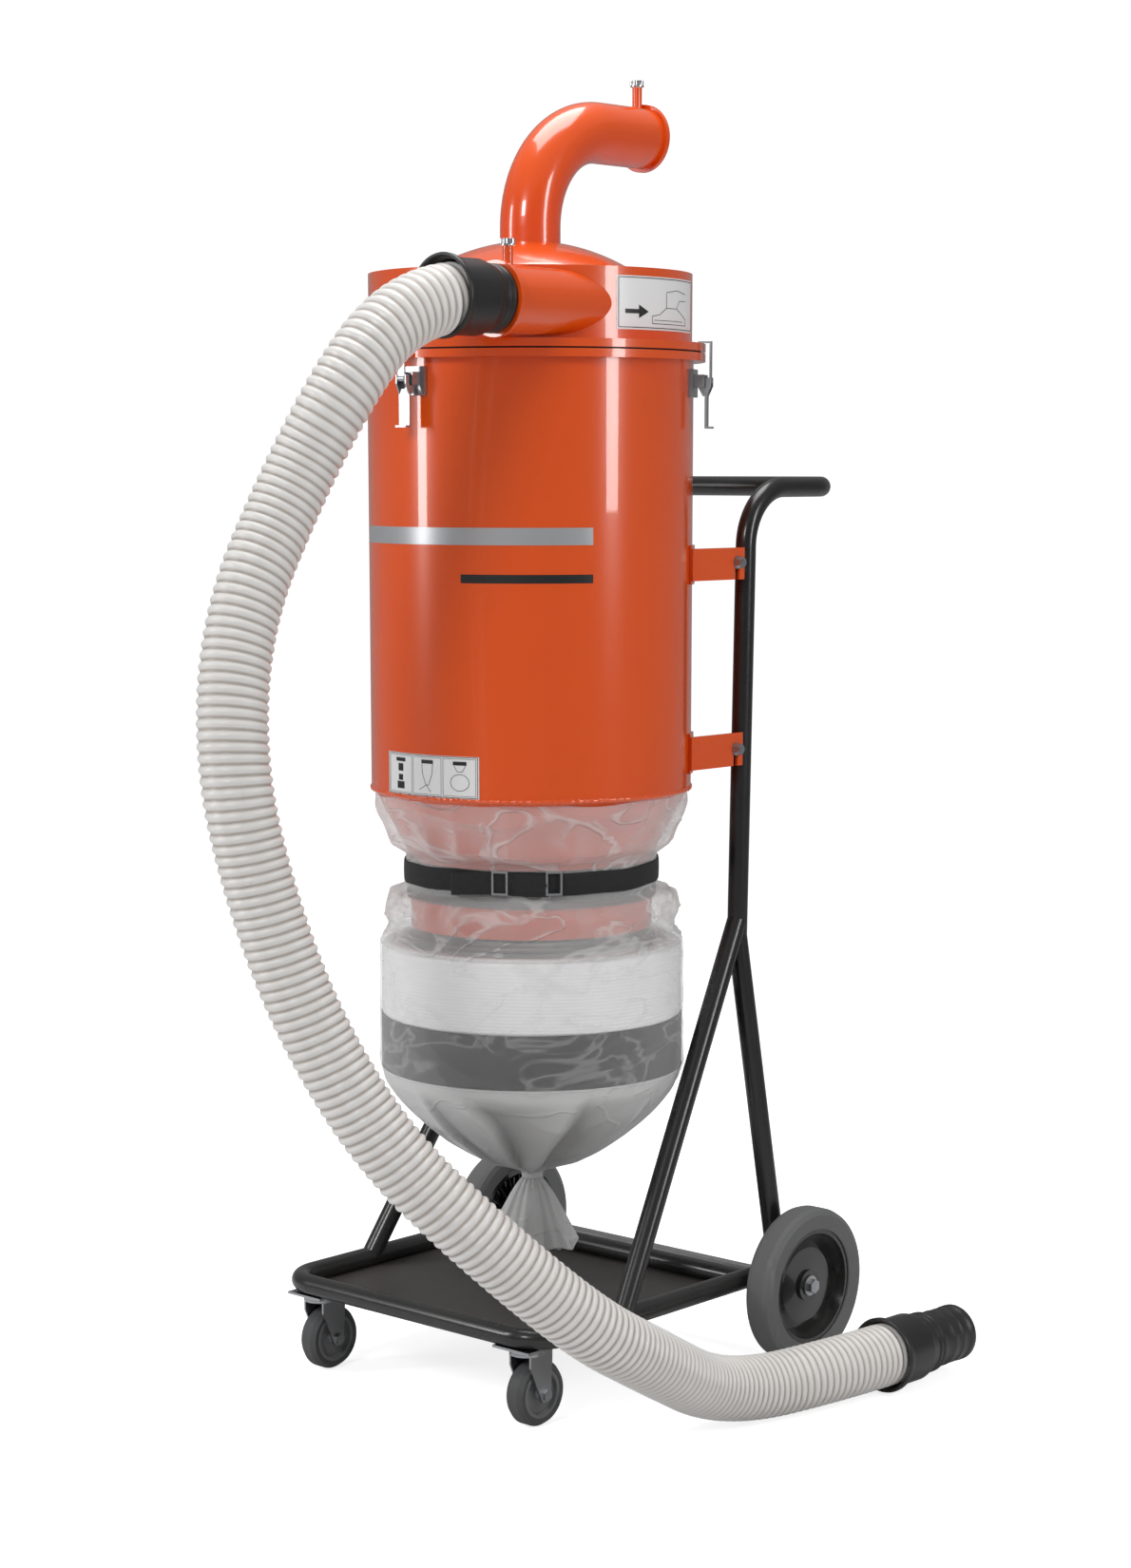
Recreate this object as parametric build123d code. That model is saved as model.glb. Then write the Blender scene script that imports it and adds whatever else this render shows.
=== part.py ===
from build123d import *
import math
import os

# Cyclone dust pre-separator on a trolley. Millimetres, +Z up, front (casters) towards -Y.
# The shapes are built about the drum's axis, then moved by SHIFT_Y so that the origin is the
# middle of the object's footprint, at floor level.

# ---- driving sizes ----
DRUM_R = 197.5          # outside radius of the drum
DRUM_BOTTOM = 740.0     # weld line between drum and cone
FLANGE_LOW = 1253.5     # underside of the drum's top flange
FLANGE_WIDTH = 14.5     # how far the rolled flanges stand out from the drum
FLANGE_T = 9.5
GASKET_T = 2.0
SHEET = 2.0             # sheet thickness of drum, lid and cone
LID_SET_IN = 2.0        # how much smaller the lid's wall is than the drum
LID_EDGE = 1357.0       # where the lid's wall meets its domed top
DOME_R = 131.0
DOME_TOP = 1397.0

OUTLET_OD = 73.0
OUTLET_WALL = 2.0
OUTLET_Z = 1532.0       # height of the outlet's horizontal stretch
OUTLET_BEND = 120.0
OUTLET_END = 212.0
INLET_OD = 76.0
INLET_X = 147.0
INLET_Z = 1315.0
INLET_MOUTH = -221.0
RIM_EXTRA = 4.5

VORTEX_R = 60.0
VORTEX_LOW = 1120.0
NECK_R = 150.0
NECK_HIGH = 655.0
NECK_LOW = 604.0
OUTLET_CONE_R = 105.0
CONE_LOW = 562.0
SKIRT_LOW = 568.0

STACK_HIGH = 549.0      # folded film pack
STACK_LOW = 457.0
RING_LOW = 392.0        # cassette ring under it
BAG_R = 188.0
BAG_TIE_Z = 245.0
TAIL_LOW = 142.0

TUBE_R = 12.7           # trolley tube, 25.4 mm
TUBE_WALL = 2.0
UPRIGHT_X = 164.6
KINK_Y = 205.0
KINK_Z = 545.0
UPRIGHT_LEAN = 10.0     # how far the top of the uprights stands behind the kink
HANDLE_Z = 1104.0
HANDLE_BEND = 75.0
HANDLE_Y = 400.0
HANDLE_CORNER = 50.0
BASE_X = 216.0
BASE_FRONT = -224.0
BASE_REAR = 161.0
BASE_LIFT = 34.8        # from the top of the caster wheels to the middle of the base tubes
BASE_CORNER = 45.0
BRACE_FOOT_Y = -76.0

WHEEL_R = 100.0
WHEEL_W = 38.0
WHEEL_X = 236.0         # inner face of the tyre
WHEEL_Y = 235.0
AXLE_R = 10.0
HUB_R = 74.0
CASTER_R = 40.0
CASTER_W = 26.0
CASTER_X = 177.0
CASTER_Y = -203.0
CASTER_TRAIL = 14.0

HOSE_OD = 78.0
HOSE_WALL = 5.0
CUFF_R = 42.5

# ---- fits ----
RUN = 0.05              # radial running clearance of a pin in a bore
GAP = 0.3               # air between different bodies

FLANGE_R = DRUM_R + FLANGE_WIDTH
LID_R = DRUM_R - LID_SET_IN
BASE_Z = 2 * CASTER_R + BASE_LIFT
SHIFT_Y = -((BASE_FRONT - TUBE_R) + (HANDLE_Y + TUBE_R)) / 2.0


def tube(points, radius, bends, wall=TUBE_WALL):
    """A round tube along straight runs joined by tangent arcs."""
    if len(points) > 2:
        path = FilletPolyline(*points, radius=bends)
    else:
        path = Line(*points)
    section = Plane(origin=path @ 0, z_dir=path % 0)
    ring = section * (Circle(radius) - Circle(radius - wall))
    return sweep(ring, path=path)


def rod(start, end, radius):
    """A solid cylinder between two points."""
    start = Vector(*start)
    end = Vector(*end)
    plane = Plane(origin=start, z_dir=(end - start))
    return extrude(plane * Circle(radius), amount=(end - start).length)


def turned(profile):
    """A solid of revolution about Z from (radius, height) points."""
    return revolve(Plane.XZ * make_face(Polyline(*profile, close=True)), axis=Axis.Z)


def mirrored(shape):
    return shape.mirror(Plane.YZ)


def both(shape):
    """The shape and its mirror image on the other side, as separate solids."""
    return Compound(children=list(shape.solids()) + list(mirrored(shape).solids()))


def group(*shapes):
    solids = []
    for shape in shapes:
        solids += list(shape.solids())
    return Compound(children=solids)


parts = {}

# ---- drum: cylinder with a turned-out top flange ----
flange_top = FLANGE_LOW + FLANGE_T
drum = turned([
    (DRUM_R - SHEET, DRUM_BOTTOM), (DRUM_R, DRUM_BOTTOM), (DRUM_R, FLANGE_LOW),
    (FLANGE_R, FLANGE_LOW), (FLANGE_R, flange_top), (DRUM_R - SHEET, flange_top)])
parts["drum_shell"] = drum

# ---- cone under the drum, with the bag neck and the discharge cone; two ears for the flap ----
cone = turned([
    (DRUM_R, DRUM_BOTTOM), (DRUM_R - 7.5, 732), (DRUM_R - 11.5, 722), (NECK_R, NECK_HIGH), (NECK_R, NECK_LOW),
    (OUTLET_CONE_R, CONE_LOW), (OUTLET_CONE_R - SHEET, CONE_LOW),
    (NECK_R - SHEET, NECK_LOW + 1), (NECK_R - SHEET, NECK_HIGH),
    (DRUM_R - 11.5 - SHEET, 722.5), (DRUM_R - 7.5 - SHEET, 733), (DRUM_R - SHEET, DRUM_BOTTOM)])
FLAP_R = 104.0
FLAP_Y = FLAP_R + 8.0
FLAP_Z = CONE_LOW - 5.0
ear_wall = turned([
    (OUTLET_CONE_R - SHEET, CONE_LOW), (OUTLET_CONE_R, CONE_LOW), (NECK_R, NECK_LOW),
    (NECK_R, NECK_LOW + 1), (OUTLET_CONE_R - SHEET - 30, NECK_LOW + 1), (OUTLET_CONE_R - SHEET - 30, CONE_LOW)])
ears = []
for x in (-24.0, 24.0):
    ear = Pos(x, FLAP_Y, FLAP_Z + 9) * Box(4, 12, 28)
    ear -= ear_wall
    ear -= rod((x - 5, FLAP_Y, FLAP_Z), (x + 5, FLAP_Y, FLAP_Z), 2.0 + RUN)
    ears.append(ear)
for ear in ears:
    cone += ear
skirt = turned([
    (NECK_R - SHEET, SKIRT_LOW), (NECK_R, SKIRT_LOW), (NECK_R, NECK_LOW + 1), (NECK_R - SHEET, NECK_LOW + 1)])
parts["cone_shell"] = cone + skirt

# discharge flap with its hinge rod
flap = Pos(0, 0, CONE_LOW - 2.5 - GAP) * Cylinder(FLAP_R, 3.0)
flap += Pos(0, FLAP_Y - 6, CONE_LOW - 2.5 - GAP) * Box(36, 14, 3.0)
flap += rod((-29, FLAP_Y, FLAP_Z), (29, FLAP_Y, FLAP_Z), 2.0)
flap += Pos(0, FLAP_Y, FLAP_Z) * Box(36, 5, 4.5)
parts["discharge_flap"] = flap

# ---- lid: wall, bottom flange and domed top, open to the inlet and the outlet ----
lid_low = flange_top + GASKET_T
dome_rise = DOME_TOP - LID_EDGE
dome_line = ThreePointArc((DOME_R, LID_EDGE), (DOME_R / 2, LID_EDGE + 0.75 * dome_rise), (0, DOME_TOP))
lid_outer = make_face(Curve() + [
    Line((LID_R, LID_EDGE), (DOME_R, LID_EDGE)), dome_line,
    Line((0, DOME_TOP), (0, lid_low)), Line((0, lid_low), (FLANGE_R, lid_low)),
    Line((FLANGE_R, lid_low), (FLANGE_R, lid_low + FLANGE_T)),
    Line((FLANGE_R, lid_low + FLANGE_T), (LID_R, lid_low + FLANGE_T)),
    Line((LID_R, lid_low + FLANGE_T), (LID_R, LID_EDGE))])
inner_r = LID_R - SHEET
dome_inner = ThreePointArc(
    (DOME_R, LID_EDGE - SHEET), (DOME_R / 2, LID_EDGE + 0.75 * dome_rise - SHEET), (0, DOME_TOP - SHEET))
lid_inner = make_face(Curve() + [
    Line((inner_r, LID_EDGE - SHEET), (DOME_R, LID_EDGE - SHEET)),
    dome_inner, Line((0, DOME_TOP - SHEET), (0, lid_low - 5)),
    Line((0, lid_low - 5), (inner_r, lid_low - 5)), Line((inner_r, lid_low - 5), (inner_r, LID_EDGE - SHEET))])
lid_solid = revolve(Plane.XZ * lid_outer, axis=Axis.Z)
lid_void = revolve(Plane.XZ * lid_inner, axis=Axis.Z)
inlet_bore_r = INLET_OD / 2 - OUTLET_WALL
outlet_r = OUTLET_OD / 2
bore_r = outlet_r - OUTLET_WALL
inlet_cut = rod((INLET_X, -220, INLET_Z), (INLET_X, 10, INLET_Z), inlet_bore_r)
lid = lid_solid - lid_void - inlet_cut - rod((0, 0, 1350), (0, 0, 1450), outlet_r)
parts["lid_shell"] = lid

parts["lid_gasket"] = turned([
    (DRUM_R + 1, flange_top), (FLANGE_R - 6, flange_top), (FLANGE_R - 6, lid_low), (DRUM_R + 1, lid_low)])

# ---- vortex finder: the open tube that hangs inside under the lid ----
vortex = Pos(0, 0, (VORTEX_LOW + 1400) / 2) * Cylinder(VORTEX_R, 1400 - VORTEX_LOW)
vortex -= Pos(0, 0, (VORTEX_LOW + 1400) / 2) * Cylinder(VORTEX_R - SHEET, 1400 - VORTEX_LOW + 2)
parts["vortex_tube"] = vortex & lid_void + rod((0, 0, 1000), (0, 0, lid_low), 190)

# ---- outlet elbow, its rolled rim, and the boss of its clamp screw ----
elbow = tube([(0, 0, 1391), (0, 0, OUTLET_Z), (0, OUTLET_END, OUTLET_Z)], outlet_r, OUTLET_BEND)
elbow += rod((0, OUTLET_END - 6, OUTLET_Z), (0, OUTLET_END, OUTLET_Z), outlet_r + RIM_EXTRA)
elbow -= rod((0, OUTLET_END - 60, OUTLET_Z), (0, OUTLET_END + 5, OUTLET_Z), bore_r)
BOSS_R = 6.0
STEM_R = 3.0
OUTLET_BOSS_Y = 197.0
INLET_BOSS_Y = -198.0
OUTLET_BOSS_TOP = 1593.0
INLET_BOSS_TOP = 1374.0
outlet_hole = rod((0, OUTLET_BOSS_Y, OUTLET_Z), (0, OUTLET_BOSS_Y, OUTLET_BOSS_TOP + 5), STEM_R + RUN)
elbow -= outlet_hole
parts["outlet_elbow"] = elbow

inlet = rod((INLET_X, INLET_MOUTH, INLET_Z), (INLET_X, -28, INLET_Z), INLET_OD / 2)
inlet += rod((INLET_X, INLET_MOUTH, INLET_Z), (INLET_X, INLET_MOUTH + 6, INLET_Z), INLET_OD / 2 + RIM_EXTRA)
inlet -= rod((INLET_X, INLET_MOUTH - 5, INLET_Z), (INLET_X, 0, INLET_Z), inlet_bore_r)
inlet -= Pos(0, 0, 1300) * Cylinder(LID_R, 200)
inlet_hole = rod((INLET_X, INLET_BOSS_Y, INLET_Z), (INLET_X, INLET_BOSS_Y, INLET_BOSS_TOP + 5), STEM_R + RUN)
inlet -= inlet_hole
parts["inlet_pipe"] = inlet.solids().sort_by(SortBy.VOLUME)[-1]

outlet_boss = rod((0, OUTLET_BOSS_Y, OUTLET_Z), (0, OUTLET_BOSS_Y, OUTLET_BOSS_TOP), BOSS_R)
outlet_boss -= rod((0, 150, OUTLET_Z), (0, 220, OUTLET_Z), outlet_r)
outlet_boss -= outlet_hole
inlet_boss = rod((INLET_X, INLET_BOSS_Y, INLET_Z), (INLET_X, INLET_BOSS_Y, INLET_BOSS_TOP), BOSS_R)
inlet_boss -= rod((INLET_X, -260, INLET_Z), (INLET_X, -150, INLET_Z), INLET_OD / 2)
inlet_boss -= inlet_hole
parts["screw_bosses"] = group(inlet_boss, outlet_boss)


def thumb_screw(x, y, low, top):
    """Stem, collar and lobed knob, standing on a boss."""
    screw = rod((x, y, low), (x, y, top + GAP + 8), STEM_R)
    screw += rod((x, y, top + GAP), (x, y, top + GAP + 1.6), 8.5)
    knob = rod((x, y, top + GAP + 1.6), (x, y, top + GAP + 7.5), 7.0)
    for i in range(5):
        a = math.radians(72 * i)
        knob += rod((x + 6.2 * math.cos(a), y + 6.2 * math.sin(a), top + GAP + 1.6),
                    (x + 6.2 * math.cos(a), y + 6.2 * math.sin(a), top + GAP + 7.5), 2.8)
    return screw + knob


SCREW_SET_BACK = 0.4
parts["thumb_screw_outlet"] = thumb_screw(0, OUTLET_BOSS_Y, OUTLET_Z + bore_r + SCREW_SET_BACK, OUTLET_BOSS_TOP)
CUFF_SLEEVE_R = inlet_bore_r - GAP
parts["thumb_screw_inlet"] = thumb_screw(
    INLET_X, INLET_BOSS_Y, INLET_Z + CUFF_SLEEVE_R + GAP, INLET_BOSS_TOP)

# ---- three toggle latches: base with pivot pin, lever, and claw over the lid's flange ----
PIVOT_Y = -(DRUM_R + 12.5)
PIVOT_Z = 1230.0
EYE_Y = PIVOT_Y - 9.0
claw_lip = lid_low + FLANGE_T + GAP


def latch_base():
    plate = Pos(0, -(DRUM_R + 1.5), PIVOT_Z - 2.5) * Box(36, 7, 33)
    plate -= Pos(0, 0, 1200) * Cylinder(DRUM_R, 200)
    for x in (-11.0, 11.0):
        ear = Pos(x, (PIVOT_Y - 5.5 - DRUM_R - 4) / 2, PIVOT_Z) * Box(2.4, -PIVOT_Y + 5.5 - DRUM_R - 4, 15)
        plate += ear
    plate += rod((-13.2, PIVOT_Y, PIVOT_Z), (13.2, PIVOT_Y, PIVOT_Z), 2.0)
    return plate


def latch_lever():
    cheeks = []
    for side in (-1, 1):
        x0 = side * 7.5
        cheek = extrude(Plane(origin=(x0 - 1, 0, 0), x_dir=(0, 1, 0), z_dir=(1, 0, 0)) * make_face(Polyline(
            (PIVOT_Y + 4.2, PIVOT_Z + 4.2), (EYE_Y - 3.8, PIVOT_Z + 4.2), (EYE_Y - 3.8, PIVOT_Z - 6),
            (PIVOT_Y - 7.5, PIVOT_Z - 18), (PIVOT_Y - 3, PIVOT_Z - 18), (PIVOT_Y + 4.2, PIVOT_Z - 5),
            close=True)), amount=2)
        cheeks.append(cheek)
    lever = cheeks[0] + cheeks[1]
    lever += Pos(0, PIVOT_Y - 6.3, PIVOT_Z - 34) * Box(17, 2.4, 44)
    lever += Pos(0, PIVOT_Y - 9.5, PIVOT_Z - 54.8) * Box(17, 8.8, 2.4)
    lever += rod((-8.5, EYE_Y, PIVOT_Z), (8.5, EYE_Y, PIVOT_Z), 1.8)
    lever -= rod((-20, PIVOT_Y, PIVOT_Z), (20, PIVOT_Y, PIVOT_Z), 2.0 + RUN)
    return lever


def latch_claw():
    claw = rod((-5, EYE_Y, PIVOT_Z), (5, EYE_Y, PIVOT_Z), 4.0)
    strap_out = EYE_Y - 3.0
    claw += Pos(0, strap_out + 1.0, (PIVOT_Z + claw_lip + 2) / 2) * Box(10, 2, claw_lip + 2 - PIVOT_Z)
    claw += Pos(0, (strap_out - FLANGE_R + 6) / 2, claw_lip + 1) * Box(10, -FLANGE_R + 6 - strap_out, 2)
    claw -= rod((-10, EYE_Y, PIVOT_Z), (10, EYE_Y, PIVOT_Z), 1.8 + RUN)
    return claw


LATCH_ANGLES = (0, 120, 240)
parts["latch_bases"] = group(*[latch_base().rotate(Axis.Z, a) for a in LATCH_ANGLES])
for number, angle in enumerate(LATCH_ANGLES, start=1):
    parts[f"latch_lever_{number}"] = latch_lever().rotate(Axis.Z, angle)
    parts[f"latch_claw_{number}"] = latch_claw().rotate(Axis.Z, angle)

# ---- stickers on the drum and the lid: thin curved panels ----


def sticker(radius, angle0, angle1, low, high, thick=0.3):
    ring = Pos(0, 0, (low + high) / 2) * Cylinder(radius + thick, high - low)
    ring -= Pos(0, 0, (low + high) / 2) * Cylinder(radius, high - low + 2)
    spread = 400.0
    a0 = math.radians(angle0 - 90)
    a1 = math.radians(angle1 - 90)
    wedge = extrude(make_face(Polyline(
        (0, 0), (spread * math.cos(a0), spread * math.sin(a0)),
        (spread * math.cos((a0 + a1) / 2) * 1.2, spread * math.sin((a0 + a1) / 2) * 1.2),
        (spread * math.cos(a1), spread * math.sin(a1)), close=True)), amount=1500)
    return ring & wedge


parts["lid_label"] = sticker(LID_R, 73, 121, 1286, 1347)
parts["drum_label"] = sticker(DRUM_R, -17.5, 24.4, 742, 792)

# ---- bag system: rubber band, film, strap, folded film pack, cassette ring, closed bag ----
BAND_R = NECK_R + 5.0
parts["neck_band"] = turned([(NECK_R, 606), (BAND_R, 606), (BAND_R, 652), (NECK_R, 652)])


def film(profile):
    """A 1 mm skin of revolution whose outside follows (radius, height) points."""
    inner = [(r - 1.0, z) for r, z in reversed(profile)]
    return turned(list(profile) + inner)


FILM_NECK = BAND_R + 1.0 + GAP
parts["film_upper"] = film([
    (DRUM_R - 5, 730), (DRUM_R - 7.5, 712), (180, 693), (175, 673), (FILM_NECK, 657), (FILM_NECK, 618),
    (176, 611), (181, 590), (174, 568), (186, 553), (BAG_R, STACK_HIGH)])
STRAP_IN = FILM_NECK
STRAP_LOW = 627.0
STRAP_HIGH = 652.0
strap = turned([
    (STRAP_IN, STRAP_LOW), (STRAP_IN + 2.4, STRAP_LOW), (STRAP_IN + 2.4, STRAP_HIGH), (STRAP_IN, STRAP_HIGH)])
strap += sticker(STRAP_IN + 2.4, 8, 50, STRAP_LOW - 4, STRAP_HIGH - 3, 2.1)
parts["strap"] = strap
buckles = []
for angle in (29.0, 52.0):
    frame = Box(20, 2.4, 29) - Box(15, 4, 24)
    frame = Pos(0, -(STRAP_IN + 2.4 + 2.1 + 1.8), (STRAP_LOW + STRAP_HIGH) / 2 - 1) * frame
    buckles.append(frame.rotate(Axis.Z, angle))
parts["strap_buckles"] = group(*buckles)
parts["film_stack"] = turned([
    (162, STACK_LOW), (BAG_R, STACK_LOW), (BAG_R, STACK_HIGH), (BAG_R - 8, STACK_HIGH), (162, STACK_HIGH - 6)])
parts["cassette_ring"] = turned([
    (158, RING_LOW), (BAG_R, RING_LOW), (BAG_R, STACK_LOW), (158, STACK_LOW)])
bag_outer = [
    (BAG_R + 1.3, STACK_LOW), (BAG_R + 1.3, RING_LOW), (184, 376), (147, 329), (73, 271), (11, 251), (9, 240)]
bag_inner = [
    (0, 253), (72, 272.5), (146, 330.5), (183, 377.5), (BAG_R + 0.3, RING_LOW), (BAG_R + 0.3, STACK_LOW)]
parts["lower_bag"] = turned(bag_outer + [(0, 240)] + bag_inner)
parts["bag_tie"] = turned([(9.6, 243), (13, 243), (13, 249), (11.2, 249)])
TAIL_TURN = 42.0
tail_profile = [(6, 6, 239.9), (20, 11, 215), (38, 17, 180), (54, 22, TAIL_LOW)]
sections = [Pos(0, 0, z) * Rot(0, 0, TAIL_TURN) * Ellipse(a, b) for a, b, z in tail_profile]
parts["bag_tail"] = loft([s.faces()[0] for s in sections])

# ---- trolley tubes ----
top_y = KINK_Y + UPRIGHT_LEAN
handle_start = HANDLE_Z - HANDLE_BEND
upright = tube([(UPRIGHT_X, KINK_Y, KINK_Z), (UPRIGHT_X, top_y, handle_start)], TUBE_R, 0)
handle = tube([
    (-UPRIGHT_X, top_y, handle_start), (-UPRIGHT_X, top_y, HANDLE_Z), (-UPRIGHT_X, HANDLE_Y, HANDLE_Z),
    (UPRIGHT_X, HANDLE_Y, HANDLE_Z), (UPRIGHT_X, top_y, HANDLE_Z), (UPRIGHT_X, top_y, handle_start)],
    TUBE_R, [HANDLE_BEND - 1, HANDLE_CORNER, HANDLE_CORNER, HANDLE_BEND - 1])
parts["handle_tube"] = handle
parts["upright_tubes"] = both(upright)
leg_foot = (BASE_X - 2, WHEEL_Y, WHEEL_R)
axle_bar = rod((-(WHEEL_X + WHEEL_W - 9.7), WHEEL_Y, WHEEL_R), (WHEEL_X + WHEEL_W - 9.7, WHEEL_Y, WHEEL_R), AXLE_R)
leg = tube([(UPRIGHT_X, KINK_Y, KINK_Z), leg_foot], TUBE_R, 0)
leg -= rod((UPRIGHT_X, KINK_Y, KINK_Z), (UPRIGHT_X, top_y, handle_start), TUBE_R)
leg -= axle_bar
leg = leg.solids().sort_by(SortBy.VOLUME)[-1]
parts["leg_tubes"] = both(leg)
parts["wheel_axle"] = axle_bar

base_corner_y = BASE_FRONT + BASE_CORNER + 30
parts["base_front_tube"] = tube([
    (-BASE_X, base_corner_y, BASE_Z), (-BASE_X, BASE_FRONT, BASE_Z), (BASE_X, BASE_FRONT, BASE_Z),
    (BASE_X, base_corner_y, BASE_Z)], TUBE_R, BASE_CORNER)
leg_solid = rod((UPRIGHT_X, KINK_Y, KINK_Z), leg_foot, TUBE_R)
side_solid = rod((BASE_X, base_corner_y, BASE_Z), (BASE_X, WHEEL_Y - 4, BASE_Z), TUBE_R)
side = tube([(BASE_X, base_corner_y, BASE_Z), (BASE_X, WHEEL_Y - AXLE_R - 0.5, BASE_Z)], TUBE_R, 0)
side -= leg_solid
side = side.solids().sort_by(SortBy.VOLUME)[-1]
parts["base_side_tubes"] = both(side)
rear = tube([(-BASE_X, BASE_REAR, BASE_Z), (BASE_X, BASE_REAR, BASE_Z)], TUBE_R, 0)
rear = rear - side_solid - mirrored(side_solid)
parts["base_rear_tube"] = rear.solids().sort_by(SortBy.VOLUME)[-1]
brace_top = (UPRIGHT_X, KINK_Y - 1, KINK_Z + 18)
brace_foot = (BASE_X, BRACE_FOOT_Y, BASE_Z)
brace = tube([brace_foot, brace_top], TUBE_R, 0)
brace = brace - side_solid - leg_solid
brace -= rod((UPRIGHT_X, KINK_Y, KINK_Z), (UPRIGHT_X, top_y, handle_start), TUBE_R)
brace = brace.solids().sort_by(SortBy.VOLUME)[-1]
parts["brace_tubes"] = both(brace)

# tray sheet inside the base frame
front_solid = tube([
    (-BASE_X, base_corner_y, BASE_Z), (-BASE_X, BASE_FRONT, BASE_Z), (BASE_X, BASE_FRONT, BASE_Z),
    (BASE_X, base_corner_y, BASE_Z)], TUBE_R, BASE_CORNER, wall=TUBE_R - 0.5)
tray_low = BASE_Z - TUBE_R
tray = Pos(0, (BASE_FRONT + BASE_REAR) / 2, tray_low + 1) * extrude(
    RectangleRounded(2 * BASE_X, BASE_REAR - BASE_FRONT, BASE_CORNER), amount=1, both=True)
tray = tray & (Pos(0, -10, tray_low + 1) * Box(2 * BASE_X - 4, 420, 2))
tray = tray - side_solid - mirrored(side_solid) - front_solid
tray -= rod((-BASE_X, BASE_REAR, BASE_Z), (BASE_X, BASE_REAR, BASE_Z), TUBE_R)
parts["tray"] = tray.solids().sort_by(SortBy.VOLUME)[-1]

# ---- brackets between drum and uprights, with lugs and fasteners ----
BRACKET_X = UPRIGHT_X + 11.4
BRACKET_T = 4.0
BOLT_Y = 182.0
BRACKETS = ((992.0, 1031.0, 1013.0), (762.0, 803.0, 783.0))
plates, lugs, bolts, washers, nuts = [], [], [], [], []
drum_solid = Pos(0, 0, 900) * Cylinder(DRUM_R, 600)
for low, high, bolt_z in BRACKETS:
    mid = (low + high) / 2
    plate = Pos(BRACKET_X, (96 + 196) / 2, mid) * Box(BRACKET_T, 100, high - low)
    pad = Pos(0, 0, mid) * Cylinder(DRUM_R + 3, high - low + 8)
    pad = pad & (Pos(BRACKET_X - 16, 112, mid) * Box(36, 34, 60))
    plate = (plate + pad) - drum_solid
    plate -= rod((150, BOLT_Y, bolt_z), (200, BOLT_Y, bolt_z), 4.2)
    plate -= Pos(BRACKET_X, BOLT_Y, (low + bolt_z) / 2 - 2) * Box(20, 8.4, bolt_z - low + 4)
    plates.append(plate)
    lug_out = BRACKET_X - BRACKET_T / 2
    lug = Pos(lug_out - 2.5, (BOLT_Y - 11 + 206) / 2, bolt_z) * Box(5, 206 - BOLT_Y + 11, 26)
    lug -= rod((UPRIGHT_X, KINK_Y, KINK_Z), (UPRIGHT_X, top_y, handle_start), TUBE_R)
    lug = lug.solids().sort_by(Axis.Y)[0]
    lug -= rod((150, BOLT_Y, bolt_z), (200, BOLT_Y, bolt_z), 4.0)
    lugs.append(lug)
    outer = BRACKET_X + BRACKET_T / 2
    inner = lug_out - 5.0
    bolt = rod((inner, BOLT_Y, bolt_z), (outer + 11, BOLT_Y, bolt_z), 4.0)
    bolt += extrude(Plane(origin=(inner - 5.3, BOLT_Y, bolt_z), z_dir=(1, 0, 0)) * RegularPolygon(7.5, 6), amount=5.3)
    bolts.append(bolt)
    washer = rod((outer, BOLT_Y, bolt_z), (outer + 1.6, BOLT_Y, bolt_z), 8.0)
    washers.append(washer - rod((150, BOLT_Y, bolt_z), (200, BOLT_Y, bolt_z), 4.0))
    nut = extrude(Plane(origin=(outer + 1.6, BOLT_Y, bolt_z), z_dir=(1, 0, 0)) * RegularPolygon(7.5, 6), amount=6)
    nut += rod((outer + 7.6, BOLT_Y, bolt_z), (outer + 9.6, BOLT_Y, bolt_z), 5.8)
    nuts.append(nut - rod((150, BOLT_Y, bolt_z), (220, BOLT_Y, bolt_z), 4.0))
parts["drum_brackets"] = both(group(*plates))
parts["frame_lugs"] = both(group(*lugs))
parts["bracket_bolts"] = both(group(*bolts))
parts["bracket_washers"] = both(group(*washers))
parts["bracket_nuts"] = both(group(*nuts))

# ---- rear wheels: tyre and dished hub, turning on the axle bar; hex bolts keep them on ----


def x_turned(profile, y, z):
    """A solid of revolution about an X axis through (y, z), from (radius, x) points."""
    return Pos(0, y, z) * Rot(0, 90, 0) * turned(profile)


x0 = WHEEL_X
x1 = WHEEL_X + WHEEL_W
tyre = x_turned([
    (HUB_R, x0 + 2), (WHEEL_R - 8, x0), (WHEEL_R - 2, x0 + 3), (WHEEL_R, x0 + 9), (WHEEL_R, x1 - 9),
    (WHEEL_R - 2, x1 - 3), (WHEEL_R - 8, x1), (HUB_R, x1 - 2)], WHEEL_Y, WHEEL_R)
boss_in = AXLE_R + RUN
hub = x_turned([
    (boss_in, x0 - 5), (20, x0 - 5), (20, x0 + 16), (60, x0 + 12), (66, x0 + 4), (HUB_R, x0 + 4),
    (HUB_R, x1 - 4), (68, x1 - 4), (63, x0 + 18), (48, x0 + 22), (20, x0 + 24), (20, x1 - 10), (boss_in, x1 - 10)],
    WHEEL_Y, WHEEL_R)
parts["tyre_right"] = tyre
parts["hub_right"] = hub
parts["tyre_left"] = mirrored(tyre)
parts["hub_left"] = mirrored(hub)
bar_end = x1 - 9.7
bolt_plane = Plane(origin=(bar_end, WHEEL_Y, WHEEL_R), z_dir=(1, 0, 0))
axle_bolt = extrude(bolt_plane * Circle(13), amount=2)
axle_bolt += extrude(bolt_plane * Pos(0, 0, 2) * RegularPolygon(9.4, 6), amount=7)
parts["axle_bolts"] = both(axle_bolt)

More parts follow.
